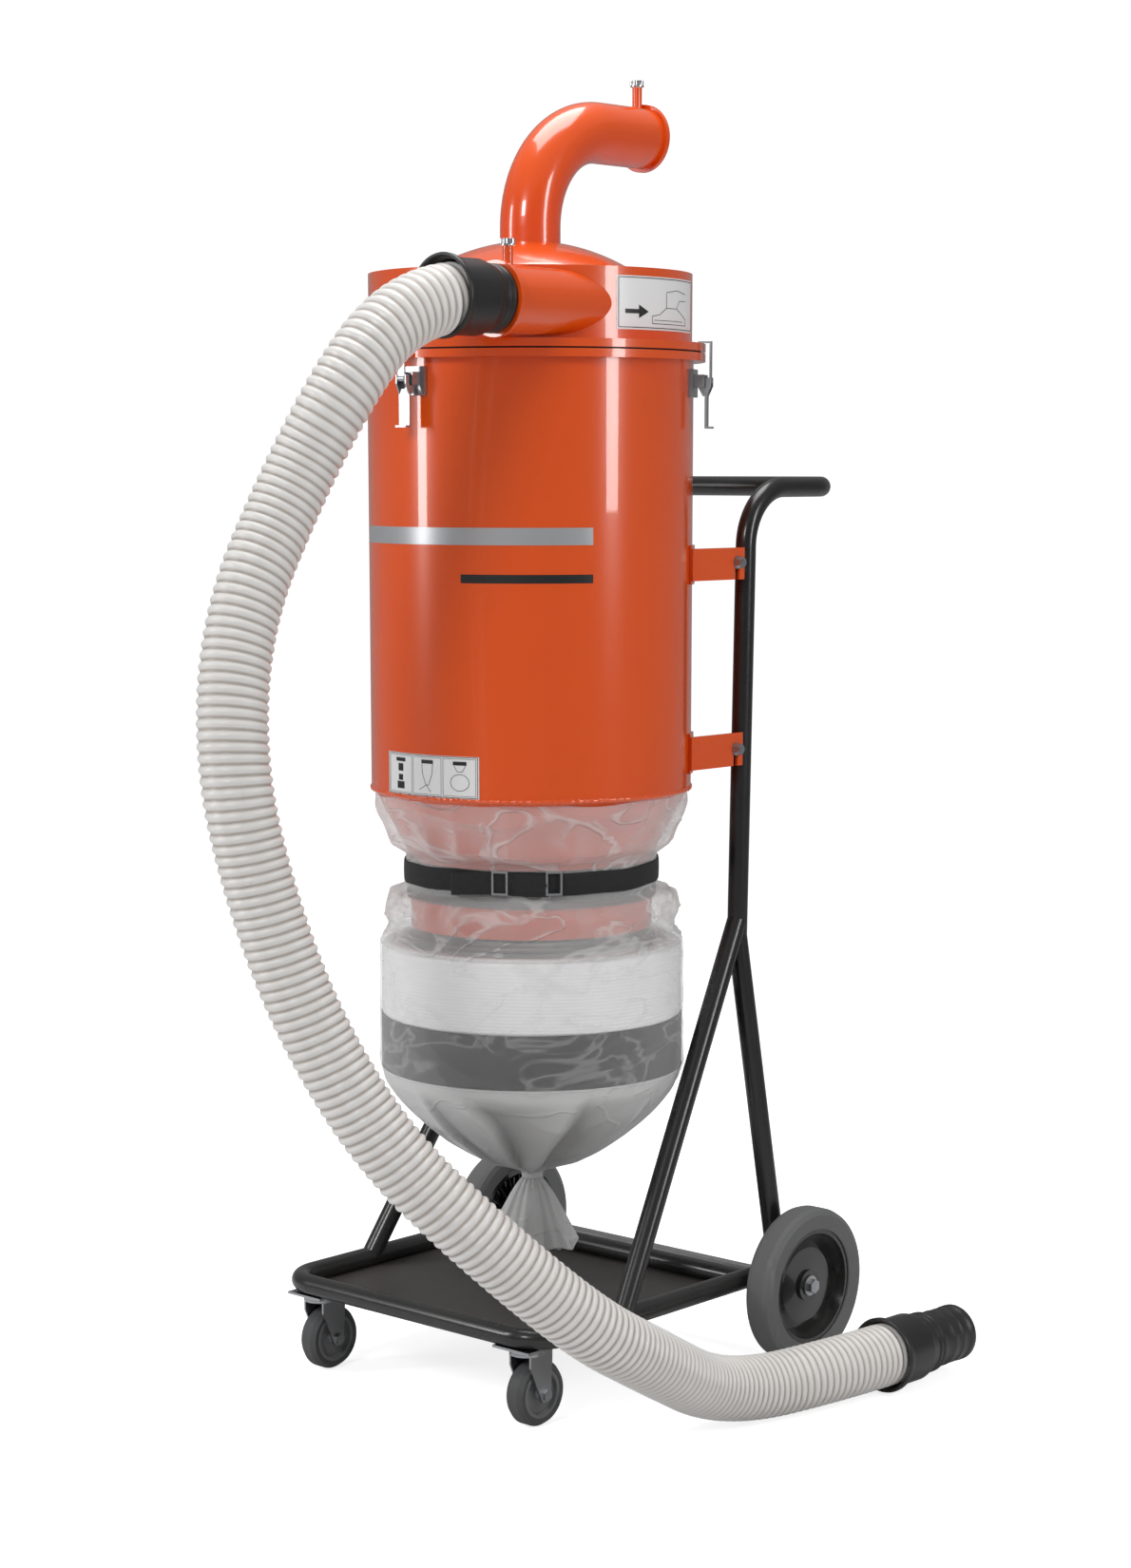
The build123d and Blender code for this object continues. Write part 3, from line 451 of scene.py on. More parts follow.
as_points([tuple(p) for p in hose_points[::12]] + [tuple(hose_points[-1])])

# ---- orange drum, cone, lid and pipes ----
# Welded and rolled sheet steel, powder coated in gloss orange with a faint orange peel. The
# drum's lower seam has a run of weld under the paint.
ORANGE = (0.80, 0.088, 0.002)
orange_paint = finish_material(
    "orange_powder_coat", ORANGE, (0.74, 0.076, 0.002), 0.22, relief=(310.0, 0.00004), wear=(26.0, 0.02),
    rough_spread=0.06, scuff=(0.78, 0.10, 0.01), coat=0.8, coat_roughness=0.03)


def paint_nodes(finish, *names):
    """Puts a finish on CAD nodes."""
    for name in names:
        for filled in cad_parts[name].material_slots:
            filled.material = finish


paint_nodes(orange_paint, "drum_shell", "cone_shell", "lid_shell", "outlet_elbow", "inlet_pipe",
            "screw_bosses", "drum_brackets", "vortex_tube")

drum_low, drum_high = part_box("drum_shell")
AXIS_X = (drum_low[0] + drum_high[0]) / 2
AXIS_Y = (drum_low[1] + drum_high[1]) / 2
DRUM_RADIUS = 0.1975
DRUM_FOOT = drum_low[2]
WELD_BEAD = 0.0017
WELD_SUNK = 0.0004
WELD_ROWS = 10
WELD_AROUND = 900


def weld_point(row, step):
    turn = math.tau * step / WELD_AROUND
    spot = Vector((40 * math.cos(turn), 40 * math.sin(turn), 0))
    ripple = 0.0003 * math.sin(130 * turn) + 0.0007 * noise.noise(spot)
    bead = WELD_BEAD + ripple
    roll = math.tau * row / WELD_ROWS
    radius = DRUM_RADIUS - WELD_SUNK + bead * math.cos(roll)
    height = DRUM_FOOT - WELD_SUNK + 1.5 * bead * math.sin(roll)
    return (AXIS_X + radius * math.sin(turn), AXIS_Y - radius * math.cos(turn), height)


weld = skin("drum_weld", WELD_ROWS, WELD_AROUND, weld_point, loop=True)
weld.data.materials.append(orange_paint)
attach(weld, "frame")

# ---- black tube frame and tray ----
# One inch steel tube, bent and welded, in semi-gloss black powder coat. The tray is folded
# sheet in a satin coat that shows settled dust.
black_paint = finish_material(
    "black_powder_coat", (0.006, 0.006, 0.0065), (0.010, 0.010, 0.010), 0.26, relief=(360.0, 0.00006),
    wear=(48.0, 0.22), rough_spread=0.10, scuff=(0.05, 0.05, 0.05), coat=0.25, coat_roughness=0.10)
paint_nodes(black_paint, "handle_tube", "upright_tubes", "leg_tubes", "brace_tubes", "base_front_tube",
            "base_side_tubes", "base_rear_tube", "frame_lugs")
tray_paint = finish_material(
    "tray_satin_coat", (0.040, 0.036, 0.034), (0.055, 0.050, 0.047), 0.40, relief=(520.0, 0.00007),
    wear=(18.0, 0.16), scuff=(0.13, 0.12, 0.11))
paint_nodes(tray_paint, "tray")

# ---- bright steel parts ----
# Zinc plated latches, bolts and caster forks, a turned axle bar, and polished clamp knobs.
zinc = finish_material(
    "bright_zinc", (0.46, 0.47, 0.485), (0.38, 0.39, 0.405), 0.27, relief=(700.0, 0.00003),
    wear=(120.0, 0.10), metallic=1.0, scuff=(0.75, 0.75, 0.76))
paint_nodes(zinc, "axle_bolts", "bracket_bolts", "bracket_washers", "bracket_nuts", "latch_bases",
            "strap_buckles", "caster_plates", "caster_fork_right", "caster_fork_left", "caster_axle_right",
            "caster_axle_left")
for number in (1, 2, 3):
    paint_nodes(zinc, f"latch_lever_{number}", f"latch_claw_{number}")
turned_steel = finish_material(
    "turned_axle_steel", (0.42, 0.42, 0.43), (0.34, 0.34, 0.35), 0.32, relief=(900.0, 0.00004),
    wear=(90.0, 0.15), metallic=1.0)
paint_nodes(turned_steel, "wheel_axle")
knob_metal = finish_material(
    "polished_knob", (0.78, 0.78, 0.80), (0.70, 0.70, 0.72), 0.10, relief=(600.0, 0.00002),
    rough_spread=0.05, metallic=1.0)
paint_nodes(knob_metal, "thumb_screw_outlet", "thumb_screw_inlet")

# ---- rear wheels and casters ----
# Solid grey rubber tyres on glossy black ribbed hubs, and twin swivel casters with dark tyres.
tyre_rubber = finish_material(
    "grey_tyre", (0.125, 0.128, 0.130), (0.165, 0.166, 0.168), 0.62, relief=(430.0, 0.00022),
    wear=(34.0, 0.20), scuff=(0.26, 0.26, 0.26))
paint_nodes(tyre_rubber, "tyre_right", "tyre_left")
hub_plastic = finish_material(
    "hub_gloss_black", (0.008, 0.008, 0.009), (0.014, 0.014, 0.014), 0.16, relief=(280.0, 0.00005),
    wear=(60.0, 0.20), rough_spread=0.08, scuff=(0.08, 0.08, 0.08), coat=0.5)
paint_nodes(hub_plastic, "hub_right", "hub_left")
FIN_COUNT = 20
FIN_THICKNESS = 0.0016


def hub_fins(name, node, body, outward):
    """Thin radial fins on the inner face of a hub, from its boss to its rim."""
    low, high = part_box(node)
    middle = (Vector(low) + Vector(high)) / 2
    radius = (high[2] - low[2]) / 2
    inner_face = low[0] if outward > 0 else high[0]
    corners = []
    faces = []
    outline = [(0.021, 0.004), (radius - 0.007, 0.008), (radius - 0.007, 0.0145), (0.021, 0.0195)]
    for fin in range(FIN_COUNT):
        turn = math.tau * fin / FIN_COUNT
        spoke = Vector((0.0, math.cos(turn), math.sin(turn)))
        thick = Vector((0.0, -math.sin(turn), math.cos(turn))) * FIN_THICKNESS / 2
        start = len(corners)
        for sign in (-1, 1):
            for reach, depth in outline:
                on_axis = Vector((inner_face + outward * depth, middle[1], middle[2]))
                corners.append(on_axis + spoke * reach + thick * sign)
        faces += [tuple(start + k for k in (0, 1, 2, 3)), tuple(start + k for k in (7, 6, 5, 4))]
        faces += [tuple(start + k for k in (a, a + 4, (a + 1) % 4 + 4, (a + 1) % 4)) for a in range(4)]
    mesh = bpy.data.meshes.new(name)
    mesh.from_pydata(corners, [], faces)
    made = bpy.data.objects.new(name, mesh)
    bpy.context.collection.objects.link(made)
    edges = made.modifiers.new("soft_edges", "BEVEL")
    edges.width = 0.0004
    edges.segments = 2
    made.data.materials.append(hub_plastic)
    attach(made, body)


hub_fins("hub_fins_right", "hub_right", "wheel_right", 1)
hub_fins("hub_fins_left", "hub_left", "wheel_left", -1)
caster_rubber = finish_material(
    "caster_tyre", (0.060, 0.062, 0.066), (0.085, 0.087, 0.090), 0.55, relief=(520.0, 0.00015),
    wear=(60.0, 0.09), scuff=(0.18, 0.18, 0.18))
paint_nodes(caster_rubber, "caster_tyre_right", "caster_tyre_left")
caster_grey = finish_material(
    "caster_core", (0.16, 0.165, 0.17), (0.20, 0.205, 0.21), 0.42, relief=(420.0, 0.00008),
    wear=(60.0, 0.09))
paint_nodes(caster_grey, "caster_core_right", "caster_core_left")

# ---- rubber neck band, lid gasket and discharge flap ----
# Soft black rubber parts that seal the cone's mouth and the lid.
soft_rubber = finish_material(
    "soft_black_rubber", (0.018, 0.018, 0.018), (0.030, 0.030, 0.030), 0.60, relief=(600.0, 0.0002),
    wear=(50.0, 0.05))
paint_nodes(soft_rubber, "neck_band", "lid_gasket", "discharge_flap")

# ---- cassette ring ----
# The dark moulded ring that the folded film is pulled from.
ring_plastic = finish_material(
    "cassette_plastic", (0.060, 0.058, 0.057), (0.078, 0.076, 0.075), 0.40, relief=(300.0, 0.00006),
    wear=(40.0, 0.05))
paint_nodes(ring_plastic, "cassette_ring")

# ---- film bag ----
# Endless thin milky film. It is strapped to the cone's neck, lies folded in a stack on the
# cassette ring, hangs below as a sack, and is tied off with a loose tail.
FILM_THICKNESS = 0.0004
FILM_AROUND = 360
LAP_TURN = 0.86
HEM_PITCH = 0.0065
HEM_DEPTH = 0.0013


def film_material(name, clear, cloudy, facing_gain, crease_gain, colour, bump_depth):
    """Milky film, thinner to look through face on than along its folds, with whiter crease lines and
    painted shade in the valleys of lapped pleats.
    """
    made = bpy.data.materials.new(name)
    made.use_nodes = True
    tree = made.node_tree
    shader = tree.nodes["Principled BSDF"]
    worn = tree.nodes.new("ShaderNodeGroup")
    worn.node_tree = WEAR_AND_DUST
    worn.inputs["Scuff Scale"].default_value = 24.0
    worn.inputs["Dust Height"].default_value = 0.05
    shade = mixed(tree, worn.outputs["Clouds"], colour, tuple(c * 0.93 for c in colour))
    # The fold attribute darkens the colour in the valleys of lapped pleats: painted shade.
    folded = tree.nodes.new("ShaderNodeAttribute")
    folded.attribute_name = "fold"
    fold_valley_shade = tree.nodes.new("ShaderNodeMix")
    fold_valley_shade.data_type = "RGBA"
    fold_valley_shade.inputs["B"].default_value = (*(c * 0.62 for c in colour), 1.0)
    tree.links.new(folded.outputs["Fac"], fold_valley_shade.inputs["Factor"])
    tree.links.new(shade, fold_valley_shade.inputs["A"])
    tree.links.new(fold_valley_shade.outputs["Result"], shader.inputs["Base Color"])
    tree.links.new(ranged(tree, worn.outputs["Clouds"], 0.24, 0.44), shader.inputs["Roughness"])
    where = tree.nodes.new("ShaderNodeTexCoord")
    lean = tree.nodes.new("ShaderNodeMapping")
    lean.inputs["Rotation"].default_value = (0.5, 0.35, 0.0)
    lean.inputs["Scale"].default_value = (1.0, 1.0, 1.9)
    tree.links.new(where.outputs["Object"], lean.inputs["Vector"])
    crease = tree.nodes.new("ShaderNodeTexNoise")
    crease.inputs["Scale"].default_value = 9.0
    crease.inputs["Detail"].default_value = 3.0
    crease.inputs["Roughness"].default_value = 0.45
    crease.inputs["Distortion"].default_value = 0.9
    tree.links.new(lean.outputs["Vector"], crease.inputs["Vector"])
    middle = tree.nodes.new("ShaderNodeMath")
    middle.operation = "SUBTRACT"
    middle.inputs[1].default_value = 0.5
    tree.links.new(crease.outputs["Fac"], middle.inputs[0])
    off_line = tree.nodes.new("ShaderNodeMath")
    off_line.operation = "ABSOLUTE"
    tree.links.new(middle.outputs["Value"], off_line.inputs[0])
    line = tree.nodes.new("ShaderNodeMapRange")
    line.inputs["From Max"].default_value = 0.042
    line.interpolation_type = "SMOOTHSTEP"
    line.inputs["To Min"].default_value = 1.0
    line.inputs["To Max"].default_value = 0.0
    tree.links.new(off_line.outputs["Value"], line.inputs["Value"])
    bump = tree.nodes.new("ShaderNodeBump")
    bump.inputs["Distance"].default_value = bump_depth
    tree.links.new(line.outputs["Result"], bump.inputs["Height"])
    tree.links.new(bump.outputs["Normal"], shader.inputs["Normal"])
    facing = tree.nodes.new("ShaderNodeLayerWeight")
    facing.inputs["Blend"].default_value = 0.30
    total = ranged(tree, worn.outputs["Clouds"], clear, cloudy)
    for extra in (ranged(tree, facing.outputs["Facing"], 0.0, facing_gain),
                  ranged(tree, line.outputs["Result"], 0.0, crease_gain)):
        both = tree.nodes.new("ShaderNodeMath")
        both.operation = "ADD"
        both.use_clamp = True
        tree.links.new(total, both.inputs[0])
        tree.links.new(extra, both.inputs[1])
        total = both.outputs["Value"]
    tree.links.new(total, shader.inputs["Alpha"])
    return made


thin_film = film_material("thin_film", 0.10, 0.26, 0.34, 0.18, (0.90, 0.90, 0.895), 0.0016)
skin_film = film_material("skin_film", 0.02, 0.07, 0.22, 0.09, (0.92, 0.92, 0.92), 0.0007)
sack_film = film_material("sack_film", 0.74, 0.88, 0.20, 0.02, (0.74, 0.74, 0.735), 0.0006)
stack_film = film_material("stacked_film", 0.98, 1.0, 0.1, 0.0, (0.95, 0.95, 0.955), 0.0)


def between(table, height):
    """The value at a height on a smooth line through a table of (height, value), highest first."""
    if height >= table[0][0]:
        return table[0][1]
    if height <= table[-1][0]:
        return table[-1][1]
    slopes = [(b[1] - a[1]) / (b[0] - a[0]) for a, b in zip(table, table[1:])]
    leans = [slopes[0]]
    for before, after in zip(slopes, slopes[1:]):
        leans.append(2 * before * after / (before + after) if before * after > 0 else 0.0)
    leans.append(slopes[-1])
    row = next(k for k in range(len(table) - 1) if height >= table[k + 1][0])
    span = table[row + 1][0] - table[row][0]
    part = (height - table[row][0]) / span
    rise = part * part * (3 - 2 * part)
    value = table[row][1] * (1 - rise) + table[row + 1][1] * rise
    return value + span * (part * (1 - part) ** 2 * leans[row] - part * part * (1 - part) * leans[row + 1])


def crease_crest(x, y, z):
    """Ridged noise, from 0 to 1, with crests like long soft creases."""
    return (1.0 - abs(noise.noise(Vector((x, y, z))))) ** 4


def film_sleeve(name, top, low, rows, radii, pleats, pleat_depth, crease_depth, crease_size, edge_wave=0.0,
                lapped=False, hem=None):
    """A sleeve of film round the axis, with gathered or lapped pleats and creases that follow two tables.
    hem is the stretch of heights where the film lies in flat folds one over the other."""
    folds = []

    def point(row, step):
        part = row / (rows - 1)
        turn = math.tau * step / FILM_AROUND
        wave = math.sin(3 * turn + 0.7) + 0.5 * math.sin(8 * turn + 2.1)
        height = top + (low - top) * part
        height += edge_wave * (1 - part) ** 3 * wave
        near = between(radii, height)
        drift = noise.noise(Vector((2.0 * math.cos(turn), 2.0 * math.sin(turn), 5 * height)))
        swirl = pleats * turn + 2.6 * drift + 1.4 * math.sin(2 * turn + 1.0)
        fold = 1.0 - abs(math.sin(swirl / 2))
        if lapped:
            phase = (swirl / math.tau) % 1.0
            fold = phase / LAP_TURN if phase < LAP_TURN else (1.0 - phase) / (1.0 - LAP_TURN)
        size = 0.60 + 0.40 * math.sin(3 * turn + 0.5 * math.sin(5 * turn))
        depth = between(pleat_depth, height) * size
        near += depth * (fold - 0.45)
        if hem and hem[0] < height < hem[1]:
            near += HEM_DEPTH * math.sin(math.pi * (height - hem[0]) / (hem[1] - hem[0])) * math.sin(
                math.tau * height / HEM_PITCH + 0.8 * math.sin(2 * turn + 0.4))
        # fold holds painted shade for the valleys of lapped pleats, stronger where the pleats are deep; it
        # is zero on gathered film.
        folds.append((1.0 - fold) * min(1.0, depth / 0.012) if lapped else 0.0)
        across, tall = crease_size
        spot = (near * math.sin(turn) / across, near * math.cos(turn) / across,
                height / tall + 0.8 * math.sin(turn * 2))
        near += between(crease_depth, height) * (crease_crest(*spot) - 0.5)
        return (AXIS_X + near * math.sin(turn), AXIS_Y - near * math.cos(turn), height)

    made = skin(name, rows, FILM_AROUND, point)
    made.data.attributes.new("fold", "FLOAT", "POINT").data.foreach_set("value", folds)
    body = made.modifiers.new("film_wall", "SOLIDIFY")
    body.thickness = FILM_THICKNESS
    body.offset = 1.0
    return made


NECK_RADIUS = 0.1559
collar_radii = [(0.740, 0.1925), (0.722, 0.1925), (0.700, 0.1850), (0.673, 0.1745), (0.657, NECK_RADIUS),
                (0.618, NECK_RADIUS), (0.609, 0.1765), (0.590, 0.1820), (0.568, 0.1795), (0.553, 0.1865),
                (0.545, 0.1895)]
collar_pleats = [(0.736, 0.0006), (0.712, 0.0030), (0.672, 0.0095), (0.655, 0.0004), (0.620, 0.0004),
                 (0.606, 0.0090), (0.580, 0.0040), (0.552, 0.0006)]
collar_creases = [(0.740, 0.0015), (0.705, 0.0060), (0.664, 0.0050), (0.655, 0.0002), (0.620, 0.0002),
                  (0.604, 0.0040), (0.575, 0.0070), (0.548, 0.0015)]
collar_film = film_sleeve("collar_film", 0.737, 0.547, 130, collar_radii, 19, collar_pleats, collar_creases,
                          (0.150, 0.040), 0.0035, hem=(0.549, 0.575))
collar_film.data.materials.append(thin_film)
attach(collar_film, "frame")
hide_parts("film_upper")

stack_low, stack_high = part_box("film_stack")
STACK_RADIUS = (stack_high[0] - stack_low[0]) / 2
STACK_INSIDE = 0.163
STACK_ROWS = 96
STACK_INNER_ROWS = 8
STACK_LAYERS = 22


def stack_point(row, step):
    turn = math.tau * step / FILM_AROUND
    if row < STACK_INNER_ROWS:
        radius = STACK_INSIDE
        height = stack_low[2] + (stack_high[2] - stack_low[2]) * row / (STACK_INNER_ROWS - 1)
        return (AXIS_X + radius * math.sin(turn), AXIS_Y - radius * math.cos(turn), height)
    part = (row - STACK_INNER_ROWS) / (STACK_ROWS - STACK_INNER_ROWS - 1)
    height = stack_high[2] + (stack_low[2] - stack_high[2]) * part
    shoulder = 0.006 * max(0.0, 1 - part / 0.08) ** 2 + 0.002 * max(0.0, 1 - (1 - part) / 0.05) ** 2
    layer = 0.00016 * math.sin(math.tau * part * STACK_LAYERS + 1.5 * math.sin(3 * turn))
    slack = 0.0009 * noise.noise(Vector((6 * math.cos(turn), 6 * math.sin(turn), 22 * height)))
    radius = STACK_RADIUS - 0.0011 - shoulder + layer + slack
    return (AXIS_X + radius * math.sin(turn), AXIS_Y - radius * math.cos(turn), height)


folded_stack = skin("folded_stack", STACK_ROWS, FILM_AROUND, stack_point, loop=True)
folded_stack.data.materials.append(stack_film)
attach(folded_stack, "frame")
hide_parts("film_stack")

wrap_radii = [(0.552, 0.1885), (0.545, 0.1895), (0.500, 0.1898), (0.458, 0.1900), (0.430, 0.1905),
              (0.400, 0.1912), (0.388, 0.1895)]
wrap_pleats = [(0.552, 0.0003), (0.388, 0.0006)]
wrap_creases = [(0.552, 0.0006), (0.500, 0.0009), (0.430, 0.0022), (0.400, 0.0030), (0.388, 0.0012)]
film_wrap = film_sleeve("film_wrap", 0.549, 0.388, 90, wrap_radii, 12, wrap_pleats, wrap_creases,
                        (0.120, 0.045))
film_wrap.data.materials.append(skin_film)
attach(film_wrap, "frame")

sack_radii = [(0.392, 0.1888), (0.376, 0.1848), (0.352, 0.1680), (0.329, 0.1470), (0.300, 0.1130),
              (0.271, 0.0690), (0.258, 0.0330), (0.250, 0.0140), (0.243, 0.0095), (0.240, 0.0092)]
sack_pleats = [(0.380, 0.0002), (0.368, 0.0070), (0.350, 0.0170), (0.310, 0.0240), (0.275, 0.0170),
               (0.258, 0.0060), (0.248, 0.0022), (0.240, 0.0016)]
sack_creases = [(0.390, 0.0002), (0.370, 0.0010), (0.330, 0.0030), (0.290, 0.0025), (0.262, 0.0010),
                (0.245, 0.0004), (0.240, 0.0003)]
hanging_sack = film_sleeve("hanging_sack", 0.391, 0.2415, 130, sack_radii, 12, sack_pleats, sack_creases,
                           (0.110, 0.110), lapped=True)
hanging_sack.data.materials.append(sack_film)
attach(hanging_sack, "frame")
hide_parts("lower_bag")

TAIL_TURN = math.radians(42)
TAIL_TOP = 0.2440
TAIL_LOW = 0.146
TAIL_ROWS = 60


def tail_point(row, step):
    part = row / (TAIL_ROWS - 1)
    turn = math.tau * step / FILM_AROUND
    spread = 0.0085 + 0.049 * part ** 0.72
    thick = 0.0085 + 0.011 * part
    pleat = 0.30 * part ** 0.5 * math.sin(7 * turn + 2.0 * part + math.sin(2 * turn))
    pleat += 0.10 * math.sin(17 * turn + 1.0)
    flat = thick * (1 + pleat)
    across = spread * math.cos(turn) * (1 + 0.05 * math.sin(7 * turn))
    deep = flat * math.sin(turn) + 0.010 * part * math.sin(2.6 * math.cos(turn) + 0.6)
    height = TAIL_TOP + (TAIL_LOW - TAIL_TOP) * part
    height += part ** 2 * (0.006 * math.sin(5 * turn + 0.4) - 0.016 * (1 - math.cos(turn) ** 2) + 0.010)
    x = across * math.cos(TAIL_TURN) - deep * math.sin(TAIL_TURN)
    y = across * math.sin(TAIL_TURN) + deep * math.cos(TAIL_TURN)
    return (AXIS_X + x, AXIS_Y + y, height)


loose_tail = skin("loose_tail", TAIL_ROWS, FILM_AROUND, tail_point)
tail_wall = loose_tail.modifiers.new("film_wall", "SOLIDIFY")
tail_wall.thickness = FILM_THICKNESS
tail_wall.offset = -1.0
loose_tail.data.materials.append(sack_film)
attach(loose_tail, "frame")
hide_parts("bag_tail")

tie_plastic = finish_material(
    "tie_plastic", (0.72, 0.72, 0.73), (0.66, 0.66, 0.67), 0.35, relief=(500.0, 0.0001), wear=(80.0, 0.05))
paint_nodes(tie_plastic, "bag_tie")

# ---- webbing strap ----
# Flat black woven webbing, pulled round the neck over the film, with its loose end folded
# back beside the buckles.
STRAP_LOW, STRAP_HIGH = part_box("strap")
STRAP_RADIUS = 0.1575
STRAP_HALF = 0.0012
STRAP_INSET = 0.001
EDGE_ROLL = 0.0004      # the edges curl in a little
STRAP_ROWS = 28


def webbing_material(name):
    made = finish_material(
        name, (0.006, 0.006, 0.0065), (0.011, 0.011, 0.0115), 0.75, relief=(800.0, 0.00005),
        wear=(90.0, 0.05))
    tree = made.node_tree
    shader = tree.nodes["Principled BSDF"]
    where = tree.nodes.new("ShaderNodeTexCoord")
    ribs = []
    for direction, scale in (("Z", 170.0), ("DIAGONAL", 130.0)):
        rib = tree.nodes.new("ShaderNodeTexWave")
        rib.bands_direction = direction
        rib.inputs["Scale"].default_value = scale
        tree.links.new(where.outputs["Object"], rib.inputs["Vector"])
        ribs.append(rib.outputs["Fac"])
    weave = tree.nodes.new("ShaderNodeMath")
    weave.operation = "MULTIPLY"
    tree.links.new(ribs[0], weave.inputs[0])
    tree.links.new(ribs[1], weave.inputs[1])
    bump = tree.nodes.new("ShaderNodeBump")
    bump.inputs["Distance"].default_value = 0.0005
    tree.links.new(weave.outputs["Value"], bump.inputs["Height"])
    tree.links.new(bump.outputs["Normal"], shader.inputs["Normal"])
    shader.inputs["Sheen Weight"].default_value = 0.06
    return made


webbing = webbing_material("black_webbing")


def band_section(part):
    """The outline of the flat webbing with rounded edges, as (offset, height)."""
    turn = math.tau * part
    across = math.copysign(abs(math.cos(turn)) ** 0.25, math.cos(turn))
    proud = math.copysign(abs(math.sin(turn)) ** 0.6, math.sin(turn))
    low = STRAP_LOW[2] + STRAP_INSET
    high = STRAP_HIGH[2] - STRAP_INSET
    return STRAP_HALF * proud - EDGE_ROLL * (across ** 2), (low + high) / 2 + (high - low) / 2 * across


def strap_point(row, step):
    turn = math.tau * step / FILM_AROUND
    sway = 0.0012 * math.sin(3 * turn + 0.8) + 0.0006 * math.sin(11 * turn)
    offset, height = band_section(row / STRAP_ROWS)
    radius = STRAP_RADIUS + offset
    return (AXIS_X + radius * math.sin(turn), AXIS_Y - radius * math.cos(turn), height + sway)


neck_strap = skin("neck_strap", STRAP_ROWS, FILM_AROUND, strap_point, loop=True)
FOLD_START = math.radians(6)
FOLD_END = math.radians(49)
FOLD_STEPS = 70


def fold_point(row, step):
    part = row / (FOLD_STEPS - 1)
    turn = FOLD_START + (FOLD_END - FOLD_START) * part
    lift = 0.0030 + 0.0012 * math.sin(math.pi * part * 2.5)
    droop = -0.0035 * (1 - part) ** 2 + 0.0015 * math.sin(5 * part)
    offset, height = band_section(step / STRAP_ROWS)
    radius = STRAP_RADIUS + STRAP_HALF + lift + offset
    return (AXIS_X + radius * math.sin(turn), AXIS_Y - radius * math.cos(turn), height + droop)


strap_end = skin("strap_end", FOLD_STEPS, STRAP_ROWS, fold_point, caps=True)
for piece in (neck_strap, strap_end):
    piece.data.materials.append(webbing)
    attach(piece, "frame")
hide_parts("strap")

# ---- stickers ----
# Printed vinyl: a flow direction label on the lid, three bag fitting steps on the drum, and a
# plain silver stripe with a black bar. All drawings are generic and there is no lettering.
label_vinyl = finish_material(
    "label_vinyl", (0.86, 0.86, 0.86), (0.82, 0.82, 0.82), 0.30, relief=(300.0, 0.00002), wear=(50.0, 0.02),
    rough_spread=0.05, coat=0.3)
paint_nodes(label_vinyl, "lid_label", "drum_label")
label_ink = finish_material(
    "label_ink", (0.012, 0.012, 0.012), (0.018, 0.018, 0.018), 0.32, relief=(300.0, 0.00002),
    wear=(50.0, 0.02), rough_spread=0.05)
silver_vinyl = finish_material(
    "silver_vinyl", (0.56, 0.57, 0.59), (0.50, 0.51, 0.53), 0.28, relief=(300.0, 0.00002),
    wear=(50.0, 0.02), rough_spread=0.08, metallic=0.6)
LID_RADIUS = 0.1955
STICKER_STANDS = 0.00042
INK_THICKNESS = 0.00012


def printed(name, radius, shapes, finish):
    """Flat shapes of (angle in degrees, height) corners, wrapped on a cylinder round the axis.
    Each shape is a strip: pairs of lower and upper corners."""
    corners = []
    faces = []
    for strip in shapes:
        dense = []
        for (a0, b0), (a1, b1) in zip(strip, strip[1:]):
            pieces = max(1, int(abs(a1[0] - a0[0]) / 1.5))
            for step in range(pieces):
                part = step / pieces
                dense.append([(p[0] + (q[0] - p[0]) * part, p[1] + (q[1] - p[1]) * part) for p,
                              q in ((a0, a1), (b0, b1))])
        dense.append(list(strip[-1]))
        start = len(corners)
        for layer in (radius, radius + INK_THICKNESS):
            for pair in dense:
                for angle, height in pair:
                    turn = math.radians(angle)
                    corners.append((AXIS_X + layer * math.sin(turn), AXIS_Y - layer * math.cos(turn),
                                    height))
        count = len(dense)
        top = start + 2 * count
        for step in range(count - 1):
            a, b, c, d = (start + 2 * step, start + 2 * step + 1, start + 2 * step + 3,
                          start + 2 * step + 2)
            lift = 2 * count
            faces += [(a, b, c, d), (a + lift, d + lift, c + lift, b + lift),
                      (a, d, d + lift, a + lift), (b, b + lift, c + lift, c)]
        last = start + 2 * (count - 1)
        faces += [(start, top, top + 1, start + 1), (last, last + 1, last + 1 + 2 * count,
                                                     last + 2 * count)]
    mesh = bpy.data.meshes.new(name)
    mesh.from_pydata(corners, [], faces)
    made = bpy.data.objects.new(name, mesh)
    bpy.context.collection.objects.link(made)
    made.data.materials.append(finish)
    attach(made, "frame")
    return made


def bar(angle0, angle1, low, high):
    return [((angle0, low), (angle0, high)), ((angle1, low), (angle1, high))]


def stroke(points, width, radius):
    """A thin line through (angle, height) points, drawn as one strip per run."""
    runs = []
    for (a0, h0), (a1, h1) in zip(points, points[1:]):
        dx = math.radians(a1 - a0) * radius
        dz = h1 - h0
        size = math.hypot(dx, dz)
        oa = math.degrees(-dz / size * width / 2 / radius)
        oh = dx / size * width / 2
        runs.append([((a0 - oa, h0 - oh), (a0 + oa, h0 + oh)), ((a1 - oa, h1 - oh), (a1 + oa, h1 + oh))])
    return runs


def framed(angle0, angle1, low, high, width, radius):
    corners = [(angle0, low), (angle1, low), (angle1, high), (angle0, high), (angle0, low)]
    return stroke(corners, width, radius)


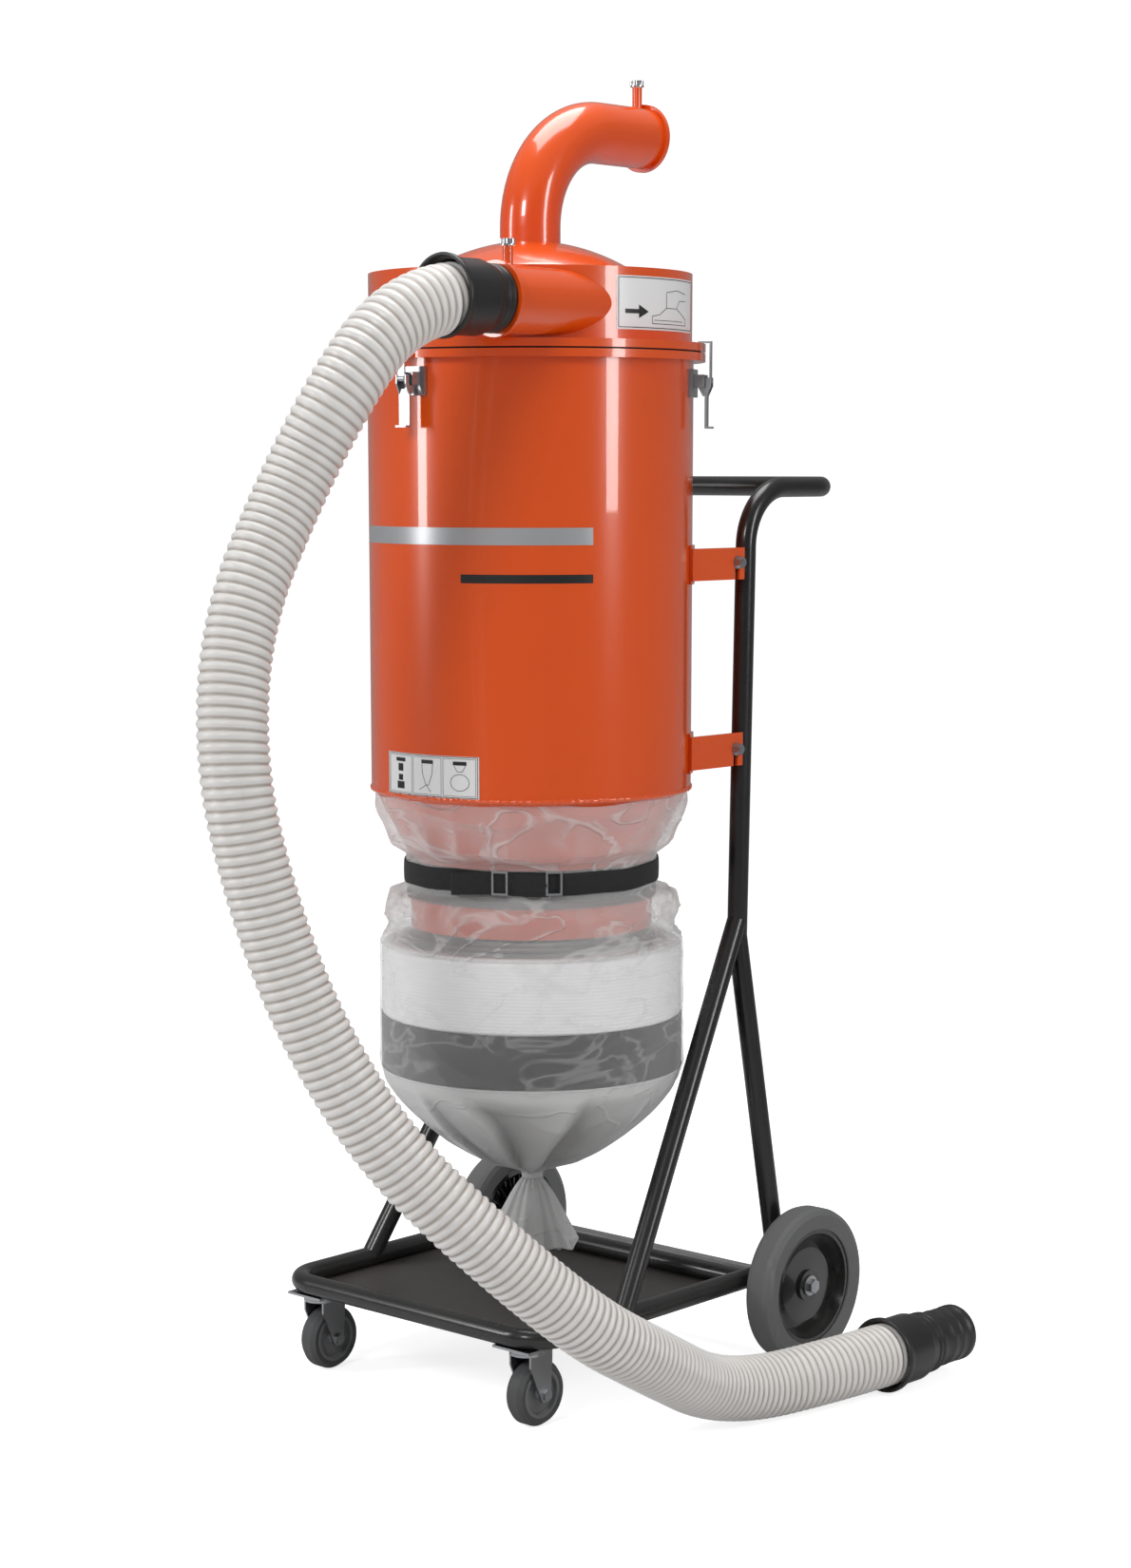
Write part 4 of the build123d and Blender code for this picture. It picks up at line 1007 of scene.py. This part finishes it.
lid_ink = framed(73.8, 120.3, 1.2885, 1.3450, 0.0009, LID_RADIUS)
lid_ink += [bar(76.5, 82.5, 1.3042, 1.3092)]
lid_ink += [[((82.5, 1.2990), (82.5, 1.3144)), ((87.0, 1.3066), (87.0, 1.3068))]]
lid_ink += stroke([(89, 1.2935), (112, 1.2935), (112, 1.3010), (104, 1.3120), (97, 1.3120), (93, 1.3040),
                   (89, 1.3020), (89, 1.2935)], 0.0007, LID_RADIUS)
lid_ink += stroke([(97, 1.3120), (97, 1.3300), (104, 1.3330), (112, 1.3300)], 0.0007, LID_RADIUS)
lid_ink += stroke([(104, 1.3120), (106, 1.3210), (112, 1.3220)], 0.0006, LID_RADIUS)
lid_ink += stroke([(90, 1.2975), (109, 1.2975)], 0.0006, LID_RADIUS)
printed("lid_label_ink", LID_RADIUS + STICKER_STANDS, lid_ink, label_ink)

drum_ink = framed(-17.0, 23.9, 0.7430, 0.7910, 0.0007, DRUM_RADIUS)
for number in range(3):
    left = -16.2 + 13.4 * number
    drum_ink += framed(left, left + 12.6, 0.7450, 0.7890, 0.0004, DRUM_RADIUS)
    middle = left + 6.6
    drum_ink += [bar(middle - 2.6, middle + 2.6, 0.7815, 0.7860)]
    if number == 0:
        drum_ink += [[((middle - 1.4, 0.7700), (middle - 1.4, 0.7790)),
                      ((middle + 1.4, 0.7700), (middle + 1.4, 0.7790))]]
        drum_ink += [bar(middle - 2.0, middle + 2.0, 0.7490, 0.7575),
                     bar(middle - 1.2, middle + 1.2, 0.7590, 0.7660)]
    if number == 1:
        drum_ink += stroke([(middle - 2.4, 0.7810), (middle - 2.2, 0.7700), (middle - 0.6, 0.7560),
                            (middle + 0.6, 0.7560), (middle + 2.2, 0.7700),
                            (middle + 2.4, 0.7810)], 0.0006, DRUM_RADIUS)
        drum_ink += stroke([(middle - 3.6, 0.7500), (middle - 0.4, 0.7560), (middle + 1.5, 0.7480)], 0.0006,
                           DRUM_RADIUS)
    if number == 2:
        drum_ink += stroke([(middle - 2.2, 0.7810), (middle - 1.0, 0.7740), (middle + 1.0, 0.7740),
                            (middle + 2.2, 0.7810)],
                           0.0006, DRUM_RADIUS)
        ring = [(middle + 3.6 * math.cos(t * math.tau / 14),
                 0.7610 + 0.0100 * math.sin(t * math.tau / 14)) for t in range(15)]
        drum_ink += stroke(ring, 0.0006, DRUM_RADIUS)
printed("drum_label_ink", DRUM_RADIUS + STICKER_STANDS, drum_ink, label_ink)
printed("silver_stripe", DRUM_RADIUS + 0.00015, [bar(-38, 64, 1.0390, 1.0590)], silver_vinyl)
printed("black_stripe", DRUM_RADIUS + 0.00015, [bar(18, 64, 0.9950, 1.0050)], label_ink)
